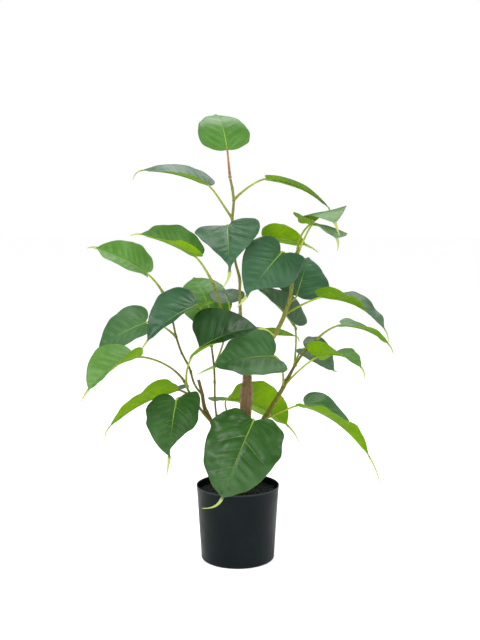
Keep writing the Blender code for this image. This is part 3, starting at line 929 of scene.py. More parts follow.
@dataclass(frozen=True)
class Stem:
    """A round stem with swollen joints, shallow bark relief and a rounded or cut end.

    The surface is S(t, s) = c(s) + r(t, s) (cos t * right + sin t * up), where c is the middle
    line and r is the plan's radius with each joint's bell-shaped swelling and noise added. The
    noise is drawn out along Z and grows with the stem's radius.
    """

    plan: StemPlan
    route: Route
    finish: Material
    slot: str = "twig"
    sides: int = 28
    swell: float = 0.45
    swell_length: float = 1.6
    relief: float = 0.16
    relief_size: float = 3.2
    relief_drawn: Point = (1.0, 1.0, 0.35)
    relief_radius: float = 2.5
    cut_swell: float = 0.35
    cut_length: float = 1.2
    end_length: float = 1.6
    seed: float = 1.0

    def swollen(self) -> Array:
        """The plan's radii with a bell added at each joint, each joint's of another size.

        Returns:
            One radius for each sample.
        """
        radii = self.route.radii.copy()
        for k, joint in enumerate(self.plan.joints):
            size = self.swell * (0.7 + 0.5 * math.sin(JOINT_TURN * k + self.seed))
            radii += size * bell(self.route.points[:, 2] - joint, self.swell_length)
        return radii

    def radii(self) -> Array:
        """The swollen radii with a collar at a cut end, or drawn in at a whole one.

        Returns:
            One radius for each sample.
        """
        left = self.route.length - self.route.at
        if self.plan.cut:
            return self.swollen() + self.cut_swell * bell(left, self.cut_length)
        return self.swollen() * np.sqrt(np.clip(left / self.end_length, 0.02, 1.0))

    def build(self) -> Piece:
        """Make the stem.

        Returns:
            The object, standing for its CAD node.
        """
        rights, ups = carried_frames(self.route.points, np.array([1.0, 0.0, 0.0]))
        spokes = spokes_round(full_turn(self.sides), rights, ups)
        radii = self.radii()[:, None]
        skin = self.route.points[:, None] + spokes * radii[..., None]
        drawn = skin * np.array(self.relief_drawn)
        rough = value_noise(drawn, self.relief_size, self.seed)
        rough += 0.5 * value_noise(drawn, self.relief_size * 0.45, self.seed + 3)
        scale = np.clip(radii / self.relief_radius, 0.4, 2.2)
        skin = skin + spokes * (rough * self.relief * scale)[..., None]
        marks = self.marks(skin, -spokes[..., 1])
        piece = make_loft(f"{self.plan.node}_bark", skin, marks, [self.finish])
        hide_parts(self.plan.node)
        return piece

    def marks(self, skin: Array, front: Array) -> dict[str, Array]:
        """Where the bark's painted front shade and its foot lie.

        Args:
            skin: Places on the surface, which only the trunk's marks need.
            front: How far each faces the front, from -1 to 1.

        Returns:
            Front shade: painted shade, most where the skin faces the front. Foot: 0, as only the trunk has
                one.
        """
        return {"front_shade": front * 0.5 + 0.25, "foot": np.zeros(front.shape)}


@dataclass(frozen=True)
class Trunk(Stem):
    """The trunk: stronger bark, a red-brown foot, and a domed top that the branches leave."""

    slot: str = "bark"
    sides: int = 96
    swell: float = 0.55
    swell_length: float = 2.2
    relief: float = 0.26
    relief_size: float = 4.6
    dome: float = 4.5
    foot_height: float = 101.0
    foot_swell: float = 1.5
    foot_length: float = 4.0
    sway: float = 0.16
    sway_size: float = 34.0

    def radii(self) -> Array:
        """The swollen radii, wider at the soil and drawn in over the top as an ellipse.

        Returns:
            One radius for each sample.
        """
        radii = self.swollen()
        radii += self.foot_swell * bell(self.route.points[:, 2] - self.foot_height, self.foot_length)
        share = np.clip(1 - (self.route.length - self.route.at) / self.dome, 0.0, 0.995)
        return radii * np.sqrt(1 - share**2)

    def marks(self, skin: Array, front: Array) -> dict[str, Array]:
        """Where the bark's painted front shade and its foot lie.

        Args:
            skin: Places on the surface.
            front: How far each faces the front, from -1 to 1.

        Returns:
            Front shade: painted shade in a narrow wandering strip up the front. Foot: 0.75 at the soil,
                fading upwards.
        """
        sway = self.sway * value_noise(skin, self.sway_size, 5.0)
        foot = ease(self.foot_height + 16, self.foot_height + 2, skin[..., 2] + 4 * sway)
        return {"front_shade": ease(0.52, 0.96, front + sway), "foot": 0.75 * foot}


@dataclass(frozen=True)
class Buds:
    """Small pointed buds beside the joints of a stem.

    Each bud is a body of revolution about a line that leaves the stem sideways by l s and turns
    along it by l s^1.3. Its radius at a share s of the line is r (1 - 0.97 s^1.6)^0.8 (0.75 +
    0.5 sin(pi s)). Buds differ in size by a sine of their number, and thin stems have small ones.
    """

    plan: StemPlan
    route: Route
    finish: Material
    length: float = 4.4
    radius: float = 1.15
    sides: int = 12
    rows: int = 9
    first_turn: float = 0.6
    flatness: float = 0.8
    seat_depth: float = 0.55
    spread: float = 0.55

    def bud(self, k: int, joint: float) -> Array:
        """One bud, turned by the golden angle from the one before.

        Args:
            k: Its number on the stem.
            joint: Its joint's height.

        Returns:
            Its rings one after another, then the middles of its two ends.
        """
        seat, way, radius = self.route.seat(joint)
        turn = JOINT_TURN * k + self.first_turn
        side = across(np.array([math.cos(turn), -abs(math.sin(turn)) * self.flatness, 0.0]), way)
        size = (0.6 + 0.4 * abs(math.sin(5.1 * k + radius))) * min(1.0, 0.45 + radius * 0.25)
        share = np.linspace(0, 1, self.rows)[:, None]
        line = seat + side * (radius * self.seat_depth + self.length * size * self.spread * share)
        line = line + way * (self.length * size * share**1.3)
        thick = self.radius * size * (1 - share[:, 0] ** 1.6 * 0.97) ** 0.8
        thick *= 0.75 + 0.5 * np.sin(math.pi * share[:, 0])
        spokes = spokes_round(full_turn(self.sides), *carried_frames(line, way))
        rings = line[:, None] + spokes * thick[:, None, None]
        return np.vstack([rings.reshape(-1, 3), line[:1], line[-1:]])

    def build(self) -> Piece:
        """Make the buds of the stem.

        Returns:
            All of them as one object.
        """
        cloud = np.vstack([self.bud(k, joint) for k, joint in enumerate(self.plan.joints)])
        starts = np.arange(len(self.plan.joints))[:, None, None] * (self.rows * self.sides + 2)
        quads = (skin_faces(self.rows, self.sides) + starts).reshape(-1, 4)
        caps = (cap_faces(self.rows, self.sides) + starts).reshape(-1, 3)
        # Buds take a middling share of the painted front shade.
        marks = {"front_shade": np.full(len(cloud), 0.4), "foot": np.zeros(len(cloud))}
        faces = quads.tolist() + caps.tolist()
        piece = make_piece(f"{self.plan.node}_buds", cloud, faces, marks, [self.finish])
        return piece


# ---- Leaves


@dataclass(frozen=True)
class LeafPlan:
    """One leaf.

    The blade's base and apex, the way its upper side looks, its width, how far its midrib
    arches, how many degrees its left and right halves droop and it twists to the right, how deep
    its left and right lobes reach back, how full the two halves are near the apex, the reach of
    its drip tip, the stem that carries it, the height of its seat there (0 for the stem's end),
    the point its stalk leans to first, its shade, how strong its puckers and waves are, and its
    kind of stalk.
    """

    node: str
    base: Point
    apex: Point
    face: Point
    width: float
    arch: float
    droop: Pair
    twist: float
    lobes: Pair
    full: Pair
    tip: Point
    carrier: str
    seat: float
    lean: Point
    tone: Tone
    relief: float = 1.0
    stalk: Stalk = Stalk.GREEN


LEAVES = [LeafPlan(*row) for row in (
    ("leaf_top", (-15, 5, 601), (-32, 50, 655), (0.15, -0.85, 0.5), 76, 12, (-5, 6), 0, (-0.5, -0.5),
     (1.0, 0.9), (-10, 14, -26), "leader", 0, (-13, 6, 580), Tone.FRESH, 0.5, Stalk.RED),
    ("leaf_upper_left", (-44, -8, 551), (-135, -12, 571), (0.05, -0.22, 0.97), 74, 6, (-14, -14), 0,
     (0.0, 0.9), (0.4, 0.7), (-14, -2, -13), "leader", 503, (-24, 0, 526), Tone.MATURE, 0.5),
    ("leaf_upper_right", (43, 14, 560), (131, 5, 519), (0.35, 0.1, 0.92), 52, 9, (-4, -6), 0, (0.3, 0.3),
     (1.2, 1.2), (1, 4, -8), "leader", 529, (12, 9, 548), Tone.FRESH, 0.35),
    ("leaf_centre_upper", (-15, -12, 493), (-11, -80, 432), (0, -0.5, 0.85), 94, 6, (-12, -4), 0,
     (1.4, -0.1), (-0.8, -1.0), (-10, -4, -24), "leader", 470, (-9, -1, 488), Tone.MATURE, 0.7),
    ("leaf_centre_heart", (62, -30, 455), (13, -85, 398), (0.1, -0.85, 0.52), 87, 5, (30, -2), 0,
     (3.2, 1.7), (-1.0, 0.4), (-14, -3, -16), "branch_right_inner", 425, (76, -14, 446), Tone.MATURE, 0.6),
    ("leaf_left_high", (-60, -46, 450), (-132, -69, 481), (0.25, -0.25, 0.95), 84, 4, (-27, -32), 0,
     (0.1, 1.3), (0.3, 0.5), (-15, -3, -2), "branch_left_inner", 0, (-45, -40, 432), Tone.FRESH),
    ("leaf_left_far_high", (-136, 36, 422), (-205, 12, 460), (0.2, -0.6, 0.75), 80, 4, (-25, -16), -24,
     (-0.9, 1.0), (0.5, 0.5), (-14, -5, 0), "twig_left", 0, (-120, 42, 407), Tone.YOUNG, 0.8),
    ("leaf_back_left", (-39, 39, 358), (-68, 101, 411), (0, -0.7, 0.7), 76, 12, (8, 8), 0, (0.2, 0.2),
     (1.0, 1.0), (-4, 7, -6), "leader", 335, (-20, 19, 345), Tone.FRESH, 0.7),
    ("leaf_inner_small", (-13, 8, 380), (-26, 44, 396), (0, -0.25, 0.97), 54, 4, (-12, -10), 0, (0.0, -0.2),
     (0.5, 0.5), (-2, 8, -14), "stem_upright", 286, (-25, 0, 305), Tone.GREY),
    ("leaf_left_inner", (-60, -15, 378), (-126, -50, 333), (-0.3, -0.5, 0.8), 87, 8, (-30, -28), 0,
     (1.8, 1.0), (0.2, 0.2), (-10, -3, -15), "stem_upright", 0, (-40, -6, 350), Tone.MATURE, 0.75),
    ("leaf_left_back", (-140, 54, 346), (-212, 60, 303), (-0.3, -0.55, 0.75), 75, 6, (-8, -20), 0,
     (0.8, 0.8), (1.0, 1.0), (-8, -4, -16), "twig_left", 330, (-110, 26, 346), Tone.MIDDLE, 0.7),
    ("leaf_left_far", (-143, -50, 308), (-204, -91, 270), (-0.35, -0.5, 0.8), 83, 9, (-36, -24), -20,
     (-0.4, 0.4), (0.6, 0.6), (-11, -3, -17), "branch_left_lower", 0, (-92, -26, 295), Tone.YOUNG, 0.7,
     Stalk.OLIVE),
    ("leaf_centre_mid", (-54, -50, 321), (26, -74, 352), (-0.2, -0.62, 0.76), 95, 8, (-30, -36), 0,
     (0.0, 0.3), (0.2, 0.2), (25, -3, -11), "branch_left_lower", 259, (-78, -28, 291), Tone.DARK, 0.85),
    ("leaf_centre_low", (52, -30, 307), (-31, -55, 296), (-0.1, -0.77, 0.64), 86, 8, (-18, -15), 0,
     (0.9, 0.9), (0.4, 0.4), (-27, -3, -12), "branch_right_lower", 257, (68, -16, 282), Tone.MIDDLE),
    ("leaf_front_large", (23, -42, 216), (-21, -98, 120), (-0.1, -0.85, 0.45), 110, 8, (10, 8), 0,
     (0.8, 0.8), (1.0, 1.0), (-28, -6, -14), "trunk", 192, (18, -26, 213), Tone.DEEP, 1.4),
    ("leaf_left_low_front", (-87, -53, 247), (-94, -97, 178), (-0.1, -0.85, 0.5), 80, 6, (46, -8), -26,
     (3.4, 1.3), (-1.1, 0.5), (-4, -3, -28), "branch_left_lower", 238, (-76, -36, 251), Tone.DEEP, 0.75),
    ("leaf_left_low", (-89, 0, 252), (-184, -34, 205), (-0.4, 0.3, 0.85), 80, 8, (-21, -20), 0, (-0.5, 1.8),
     (0.4, 0.4), (-7, -3, -20), "branch_left_lower", 247, (-80, -9, 252), Tone.MATURE, 1.0, Stalk.BROWN),
    ("leaf_right_low", (97, -24, 234), (183, -73, 173), (0.5, 0.0, 0.85), 85, 10, (-12, -28), -55,
     (0.7, 0.4), (-0.6, 0.5), (16, -5, -40), "branch_right_lower", 210, (62, -11, 220), Tone.MIDDLE),
    ("leaf_back_low", (-16, 44, 230), (76, 88, 182), (0.1, 0.75, 0.66), 92, 12, (-35, -10), 0, (1.0, 0.3),
     (1.0, 1.0), (20, 0, -28), "trunk", 178, (-19, 26, 205), Tone.FRESH),
    ("leaf_right_top", (117, 0, 505), (133, -72, 497), (-0.05, -0.1, 0.97), 70, 12, (-10, 8), 0, (0.0, 1.5),
     (0.3, 0.3), (6, -6, -18), "branch_right_inner", 0, (87, -1, 489), Tone.FRESH, 0.25),
    ("leaf_right_top_low", (107, -12, 494), (135, -78, 476), (0.1, -0.3, 0.95), 82, 8, (18, -25), 0,
     (0.6, -0.4), (1.0, 0.4), (1, -4, -17), "branch_right_inner", 445, (97, -8, 480), Tone.PALE, 0.4),
    ("leaf_back_upper", (37, 57, 475), (102, 64, 464), (0.1, 0.7, 0.66), 52, 6, (-24, -8), 0, (0.5, 0.5),
     (0.6, 0.6), (20, 0, -12), "leader", 445, (12, 25, 462), Tone.FRESH),
    ("leaf_right_inner", (88, 41, 388), (108, 76, 443), (0.1, -0.8, 0.6), 92, 5, (5, 5), 0, (-0.8, -1.0),
     (0.6, 0.6), (-3, 4, -3), "branch_right_inner", 379, (84, 22, 386), Tone.MATURE, 0.8),
    ("leaf_right_high", (125, 0, 389), (209, -30, 347), (0.4, 0.0, 0.9), 78, 12, (-26, -14), 25, (0.0, 0.8),
     (0.3, 0.3), (6, -3, -20), "branch_right_inner", 364, (92, 0, 378), Tone.GREY),
    ("leaf_right_mid", (157, 33, 345), (221, 10, 320), (0.3, 0.05, 0.93), 46, 7, (-8, -12), -50, (0.8, 0.8),
     (1.0, 1.0), (8, -2, -16), "branch_right_lower", 0, (132, 31, 339), Tone.PALE),
    ("leaf_right_low_mid", (117, -15, 304), (174, -45, 294), (0.2, 0.0, 0.95), 74, 10, (-14, -20), 40,
     (0.8, 0.8), (0.5, 0.5), (6, -3, -17), "branch_right_lower", 258, (88, -10, 284), Tone.YOUNG),
    ("leaf_right_low_back", (103, 49, 307), (145, 43, 275), (0.3, -0.5, 0.75), 70, 5, (-10, -14), 0,
     (1.8, 1.6), (0.2, 0.2), (6, -2, -1), "branch_right_lower", 268, (88, 22, 290), Tone.GREY),
    ("leaf_inner_upright", (84, 54, 345), (29, 48, 399), (0.5, -0.42, 0.75), 78, 4, (-26, -18), 0,
     (0.6, 2.2), (0.3, 0.3), (-11, -3, -6), "branch_right_lower", 287, (86, 26, 311), Tone.GREY),
    ("leaf_back_mid", (20, 20, 331), (86, 25, 329), (0.1, 0.3, 0.9), 46, 5, (4, -8), 0, (0.4, 0.4),
     (0.4, 0.4), (5, -3, -9), "trunk", 269, (17, 16, 295), Tone.FRESH, 0.25),
)]


@dataclass(frozen=True)
class Margin:
    """Stations of a blade's half outline: side points of a slender and of a full leaf.

    Across in widths and along in lengths, how far a lobe draws each point back, and for the base
    edge the places that the lobe bows. The curve's knots are its lengths to knot_power.
    """

    slender: tuple[float, ...] = (0.340, 0.455, 0.500, 0.450, 0.340, 0.205, 0.090)
    full: tuple[float, ...] = (0.340, 0.455, 0.500, 0.490, 0.425, 0.310, 0.165)
    along: tuple[float, ...] = (0.000, 0.090, 0.225, 0.420, 0.615, 0.795, 0.925)
    lobe: tuple[float, ...] = (0.100, 0.060, 0.015, 0.000, 0.000, 0.000, 0.000)
    base_shares: tuple[float, ...] = (0.36, 0.70)
    base_bow: float = 0.085
    deepest_bow: float = 1.5
    stalk_half_width: float = 1.09
    stalk_along: float = -0.3
    apex_half_width: float = 1.9
    knot_power: float = 0.999
    samples: int = 400

    def outline(self, plan: LeafPlan, length: float, half: int, rows: int) -> Array:
        """The smooth half outline from beside the stalk to the root of the drip tip.

        Args:
            plan: The leaf.
            length: Its blade's length.
            half: 0 for the left half and 1 for the right.
            rows: How many points to give.

        Returns:
            Across and along of each point, millimetres, evenly spaced on the outline.
        """
        lobe = plan.lobes[half]
        side = mix(np.array(self.slender), np.array(self.full), plan.full[half])
        along = np.array(self.along) - np.array(self.lobe) * lobe
        share = np.array(self.base_shares)
        bow = self.base_bow * min(max(lobe, -lobe / 2), self.deepest_bow)
        base = along[0] * share**2 - bow * 4 * share * (1 - share)
        base_x, side_x = side[0] * share * plan.width, side * plan.width
        x = np.concatenate([[self.stalk_half_width], base_x, side_x, [self.apex_half_width]])
        y = np.concatenate([[self.stalk_along], base * length, along * length, [length]])
        points = np.stack([x, y], -1)
        knots = path_lengths(points) ** self.knot_power
        fine = smooth_through(knots, points, np.linspace(0, knots[-1], self.samples))
        walked = path_lengths(fine)
        targets = np.linspace(0, walked[-1], rows)
        return np.stack([np.interp(targets, walked, fine[:, k]) for k in range(2)], -1)


class Blade:
    """Maps a flat leaf, millimetres across and along, to its bent place in space."""

    def __init__(self, plan: LeafPlan) -> None:
        """Work out the blade's own axes.

        Args:
            plan: The leaf.
        """
        self.plan = plan
        self.base = np.array(plan.base, float)
        self.chord = np.array(plan.apex, float) - self.base
        self.length = float(np.linalg.norm(self.chord))
        self.up = across(np.array(plan.face, float), self.chord)
        self.right = np.cross(unit(self.chord), self.up)
        self.half_width = plan.width / 2

    def midrib(self, along: Array) -> tuple[Array, Array, Array, Array]:
        """Point and frame on the midrib.

        The midrib is a parabola over its chord, c(s) = base + s chord + 4 arch s (1 - s) up, and
        runs on straight past both ends. The frame turns about it by the twist on its way.

        Args:
            along: Places along the blade, millimetres.

        Returns:
            Points, ways, rights and ups.
        """
        share = along / self.length
        held = np.clip(share, 0.0, 1.0)[..., None]
        slope = 4 * self.plan.arch * (1 - 2 * held) / self.length
        way = unit(unit(self.chord) + slope * self.up)
        point = self.base + self.chord * held + self.up * 4 * self.plan.arch * held * (1 - held)
        point = point + way * (share[..., None] - held) * self.length
        up = np.cross(self.right, way)
        turn = math.radians(self.plan.twist) * (held - 0.5)
        right = np.cos(turn) * self.right - np.sin(turn) * up
        return point, way, right, np.cross(right, way)

    def place(self, x: Array, along: Array, depth: Array) -> Array:
        """Points of the blade, at depths under its upper side.

        Each half's slope grows with the distance from the midrib, from half of its droop to one
        and a half times it, so its section is an arc of radius half width over droop.

        Args:
            x: Distance across, positive to the right.
            along: Distance along.
            depth: Distance under the upper side.

        Returns:
            The points.
        """
        point, _, right, up = self.midrib(along)
        side = np.where(x >= 0, 1.0, -1.0)[..., None]
        left_droop, right_droop = (math.radians(angle) or 1e-4 for angle in self.plan.droop)
        droop = np.where(side > 0, right_droop, left_droop)
        start = droop / 2
        end = start + droop * np.abs(x)[..., None] / self.half_width
        arc = self.half_width / droop
        out = arc * (np.sin(end) - np.sin(start))
        down = arc * (np.cos(start) - np.cos(end))
        normal = np.cos(end) * up + side * np.sin(end) * right
        return point + side * out * right - down * up - depth[..., None] * normal


@dataclass(frozen=True)
class Leaf:
    """A leaf's thin netted blade with its drip tip, and its stalk and raised midrib.

    Veins are spaced in lengths of the blade, and sway by sines, each with a size and a pace; the
    veins of the right side are offset from the left ones. Angles are degrees. The groove, the
    slow and the fine unevenness and the margin's wave each have a height and a size, and the
    stalk's swellings a share and a length, in millimetres, for a blade of usual_length.
    """

    plan: LeafPlan
    blade: Blade
    finishes: list[Material]
    stalk_finish: Material
    routes: dict[str, Route]
    seed: float
    rows: int = 84
    tip_rows: int = 14
    columns: int = 26
    row_start: tuple[float, float, float] = (0.12, 0.88, 2.1)
    row_floor: float = 0.30
    row_bend: float = 1.5
    column_power: float = 1.15
    mark_unit: float = 100.0
    usual_length: float = 95.0
    thickness: float = 0.62
    vein_spacing: float = 0.155
    vein_slope: float = 0.50
    vein_curve: float = 0.10
    vein_offset: float = 0.37
    vein_sway: tuple[Pair, ...] = ((0.22, 5.3), (0.12, 11.0))
    weakest: float = 0.25
    first_vein: float = 0.10
    fan_reach: float = 0.09
    fan_angles: Pair = (47.0, 27.0)
    pucker_height: float = 0.50
    groove: Pair = (0.75, 3.2)
    slow: Pair = (1.1, 31.0)
    fine: Pair = (0.22, 6.5)
    wave: Pair = (3.2, 17.0)
    margin_noise: float = 0.026
    margin_waves: float = 11.0
    tip_half_width: float = 2.6
    tip_end_half_width: float = 0.50
    tip_thickness: float = 1.45
    tip_lead: float = 0.55
    tip_end: float = 0.06
    stalk_radius: float = 1.35
    stalk_lead: float = 0.3
    stalk_swells: tuple[Pair, ...] = ((0.35, 4.2), (0.38, 20.0))
    stalk_ripple: tuple[float, float, float] = (0.10, 0.9, 25.0)
    flute_depth: float = 0.05
    flutes: int = 5
    thread: float = 0.22
    stalk_sides: int = 14
    stalk_rows: int = 47
    midrib_rows: int = 40
    midrib_end: float = 0.93
    margin: Margin = Margin()

    def build(self) -> list[Piece]:
        """Make the blade and the stalk.

        Returns:
            Both objects, standing together for the leaf's CAD node.
        """
        pieces = [self.build_blade(), self.build_stalk()]
        for piece in pieces:
            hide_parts(self.plan.node)
        return pieces

    def half_grid(self, half: int) -> tuple[Array, Array]:
        """Flat places of one half: rows fan from the midrib to evenly spaced outline points.

        Row t runs from (0, m(t)) to the outline point C(t), where m(t) = length (a t + b t^p)
        leaves the base slowly, so the rows turn round the basal lobe like the ribs of a fan.

        Args:
            half: 0 for the left half and 1 for the right.

        Returns:
            Across and along, rows by columns, from the midrib to the margin.
        """
        sign = 2.0 * half - 1.0
        stalk, length = self.margin.stalk_half_width, self.blade.length
        outline = self.margin.outline(self.plan, length, half, self.rows)
        t = np.linspace(0, 1, self.rows)
        line = flat_places(self.margin_waves * t, 0 * t + sign * 5 + self.seed)
        ragged = value_noise(line, 1.0, self.seed)
        ragged *= self.margin_noise * self.plan.relief * length
        ragged *= ease(0.05, 0.2, t) * ease(0.98, 0.85, t)
        outline[:, 0] += ragged
        first, later, power = self.row_start
        start = length * (first * t + later * t**power)
        start = np.minimum(start, np.maximum(outline[:, 1], self.row_floor * t * length))
        start[-1] = length
        share = (np.linspace(0, 1, self.columns + 1) ** self.column_power)[None, :]
        bent = share ** mix(1.0, self.row_bend, ease(0.2, 0.6, t))[:, None]
        x = stalk * np.minimum(1.0, share * 10) + (outline[:, :1] - stalk) * share
        y = start[:, None] + (outline[:, 1:] - start[:, None]) * bent
        return sign * x, y

    def flat_marks(self, x: Array, y: Array, edge: Array) -> dict[str, Array]:
        """Where the veins, puckers and midrib lie, from flat places.

        A lateral vein that leaves the midrib at station a runs along y = a L + slope |x| +
        curve x^2, so each point's vein number is (y - slope |x| - curve x^2) / (L spacing), with
        a slow sine added so that the gaps differ. The other veins fan out from the base at even
        angles.

        Args:
            x: Across.
            y: Along.
            edge: 0 on the midrib to 1 on the margin.

        Returns:
            The marks.
        """
        length = self.blade.length
        far = np.abs(x)
        origin = (y - self.vein_slope * far - self.vein_curve * far**2 / self.blade.half_width) / length
        side = np.where(x >= 0, self.vein_offset, 0.0)
        (large, slow), (small, quick) = self.vein_sway
        uneven = large * np.sin(slow * origin + self.seed) + small * np.sin(quick * origin + 2 * self.seed)
        lateral = (origin - self.first_vein) / self.vein_spacing + side + uneven
        number = np.round(lateral) + 40 * side
        cells = flat_places(number, 0 * number)
        first, gap = (math.radians(angle) for angle in self.fan_angles)
        fan = (np.arctan2(y + 0.02 * length, far + 1e-3) - first) / gap
        reach = np.hypot(x, y) / length
        ripple = np.cos(2 * math.pi * np.where(origin > self.fan_reach, lateral, fan))
        body = ease(0.03, 0.25, edge) * ease(0.95, 0.45, edge) * ease(0.02, 0.16, reach)
        return {
            "edge": edge,
            "lateral": lateral,
            "lateral_zone": ease(0.0, 0.02, origin - self.fan_reach),
            "strength": self.weakest + (1 - self.weakest) * lattice_value(cells, self.seed) ** 0.8,
            "relief": np.full(x.shape, self.plan.relief),
            "fan": fan,
            "reach": reach,
            "pucker": 0.5 - 0.5 * ripple * body,
            "station": np.clip(y / length, 0.0, 1.0),
            "flat_across": x / self.mark_unit,
            "flat_along": y / self.mark_unit,
        }

    def relief(self, x: Array, y: Array, marks: dict[str, Array]) -> Array:
        """Height of the surface over the plain bent blade.

        A groove along the midrib, a swelling between each pair of veins, a slow and a fine
        unevenness and a wave that grows towards the margin.

        Args:
            x: Across.
            y: Along.
            marks: The marks of the same points.

        Returns:
            The heights, millimetres.
        """
        size = self.blade.length / self.usual_length
        edge = marks["edge"]
        tail = ease(1.0, 0.82, marks["station"])
        puckers = self.pucker_height * size * (2 * marks["pucker"] - 1) * marks["strength"] * tail
        groove = -self.groove[0] * bell(x, self.groove[1]) * tail
        flat = flat_places(x + 200 * self.seed, y)
        slow = self.slow[0] * size * value_noise(flat, self.slow[1], self.seed) * ease(0.0, 0.5, edge)
        fine = self.fine[0] * value_noise(flat, self.fine[1], self.seed + 5) * ease(0.02, 0.2, edge)
        wave = self.wave[0] * size * edge**2.4 * value_noise(flat, self.wave[1], self.seed + 9)
        root = ease(0.0, 0.10, marks["reach"])
        return (puckers + groove + slow * tail + fine + wave * tail) * root * self.plan.relief

    def build_blade(self) -> Piece:
        """Loft the blade and its drip tip as one closed sheet.

        Each section runs over the upper side from the left margin to the right and back under
        it. The sheet thins towards the margin as t = thickness (1 - 0.97 edge^6).

        Returns:
            The object.
        """
        right_x, right_y = self.half_grid(1)
        left_x, left_y = self.half_grid(0)
        x = np.hstack([left_x[:, :0:-1], np.zeros((self.rows, 1)), right_x[:, 1:]])
        y = np.hstack([left_y[:, :0:-1], (left_y[:, :1] + right_y[:, :1]) / 2, right_y[:, 1:]])
        across_share = np.linspace(-1, 1, 2 * self.columns + 1)
        edge = np.broadcast_to(np.abs(across_share), x.shape)
        marks = self.flat_marks(x, y, edge)
        height = self.relief(x, y, marks)
        sheet = self.thickness * (1 - 0.97 * edge**6)
        tip_upper, tip_lower = self.tip_sections(across_share)
        upper = np.vstack([self.blade.place(x, y, -height), tip_upper])
        lower = np.vstack([self.blade.place(x, y, sheet - height), tip_lower])
        full = {}
        for mark, values in marks.items():
            whole = np.vstack([values, np.repeat(values[-1:], self.tip_rows, axis=0)])
            full[mark] = np.hstack([whole, whole[:, -2:0:-1]])
        share = np.linspace(0, 1, self.tip_rows + 1)[1:]
        tip = np.concatenate([np.zeros(self.rows), share])[:, None] * np.ones(4 * self.columns)
        tip[: self.rows] = ease(0.955, 1.0, full["station"][: self.rows]) * 0.05
        full["tip"] = tip
        rings = np.hstack([upper, lower[:, -2:0:-1]])
        return make_loft(f"{self.plan.node}_blade", rings, full, self.finishes, 2 * self.columns)

    def tip_sections(self, across_share: Array) -> tuple[Array, Array]:
        """Upper and lower sides of the drip tip.

        Its middle line is c(s) = apex + 2 s (1 - s) lead + s^2 reach, and its half width falls
        as w0 (1 - s)^1.1 + w1.

        Args:
            across_share: -1 on the left margin to 1 on the right.

        Returns:
            Rows of upper and of lower points.
        """
        apex, way, side, _ = (value[0] for value in self.blade.midrib(np.array([self.blade.length])))
        reach = np.array(self.plan.tip, float)
        lead = way * self.tip_lead * np.linalg.norm(reach)
        share = np.linspace(0, 1, self.tip_rows + 1)[1:, None]
        centre = apex + lead * 2 * share * (1 - share) + reach * share**2
        heading = unit(lead * (2 - 4 * share) + reach * 2 * share)
        right = across(np.broadcast_to(side, heading.shape), heading)
        up = np.cross(right, heading)
        end = self.tip_end_half_width
        wide = (self.tip_half_width - end) * (1 - share) ** 1.1 + end
        wide = wide * np.sqrt(np.clip((1.002 - share) / self.tip_end, 0.0, 1.0))
        tall = self.tip_thickness * (1 - 0.55 * share)
        bulge = np.sqrt(np.clip(1 - across_share**2, 0.0, 1.0))[None, :, None]
        line = centre[:, None] + across_share[None, :, None] * (wide * right)[:, None]
        lift = bulge * (tall * up)[:, None]
        return line + lift * 0.7, line - lift

    def build_stalk(self) -> Piece:
        """Carry a round tube from the seat to the blade and on under it as the raised midrib.

        The stalk's middle line is a cubic Bezier curve, and its radius swells at the stem. Under
        the blade it follows the midrib and thins to a thread. Shallow flutes run along it.

        Returns:
            The object.
        """
        plan = self.plan
        seat = self.routes[plan.carrier].seat(plan.seat)[0]
        base, way, side, _ = (value[0] for value in self.blade.midrib(np.array([0.0])))
        lean = np.array(plan.lean, float)
        lead = base - way * self.stalk_lead * np.linalg.norm(base - lean)
        share = np.linspace(0, 1, self.stalk_rows)[:, None]
        rest = 1 - share
        stalk = rest**3 * seat + 3 * rest**2 * share * lean + 3 * rest * share**2 * lead + share**3 * base
        along = np.linspace(0, self.midrib_end, self.midrib_rows + 1)[1:] * self.blade.length
        points, _, _, ups = self.blade.midrib(along)
        gone = along / self.blade.length
        sink = mix(0.15, 0.85, ease(0.0, 0.12, gone)) + 0.75 * ease(0.0, 0.1, gone)
        line = np.vstack([stalk, points - ups * sink[:, None]])
        walked = path_lengths(line)
        stalk_length = walked[len(stalk) - 1]
        swell = sum(size * bell(walked, width) for size, width in self.stalk_swells)
        radii = self.stalk_radius * (1 + swell)
        depth, pace, fading = self.stalk_ripple
        radii *= 1 + depth * np.sin(walked * pace + self.seed) * np.exp(-walked / fading)
        thin = np.clip((walked - stalk_length) / (walked[-1] - stalk_length), 0.0, 1.0)
        radii = radii * mix(1.0, self.thread, thin**0.7)
        radii[-1] *= 0.3
        rights, ups = carried_frames(line[::-1], side)
        turns = full_turn(self.stalk_sides)
        flutes = 1 + self.flute_depth * np.cos(self.flutes * turns)[None, :] * (1 - thin[:, None])
        spokes = spokes_round(turns, rights[::-1], ups[::-1])
        rings = line[:, None] + spokes * (radii[:, None] * flutes)[..., None]
        station = np.clip(walked / stalk_length, 0.0, 2.0)[:, None] * np.ones(len(turns))
        marks = {"station": station, "turn": np.ones((len(line), 1)) * turns[None, :] / 3.0}
        return make_loft(f"{plan.node}_stalk", rings[:, ::-1], marks, [self.stalk_finish])


# ---- Pot and soil


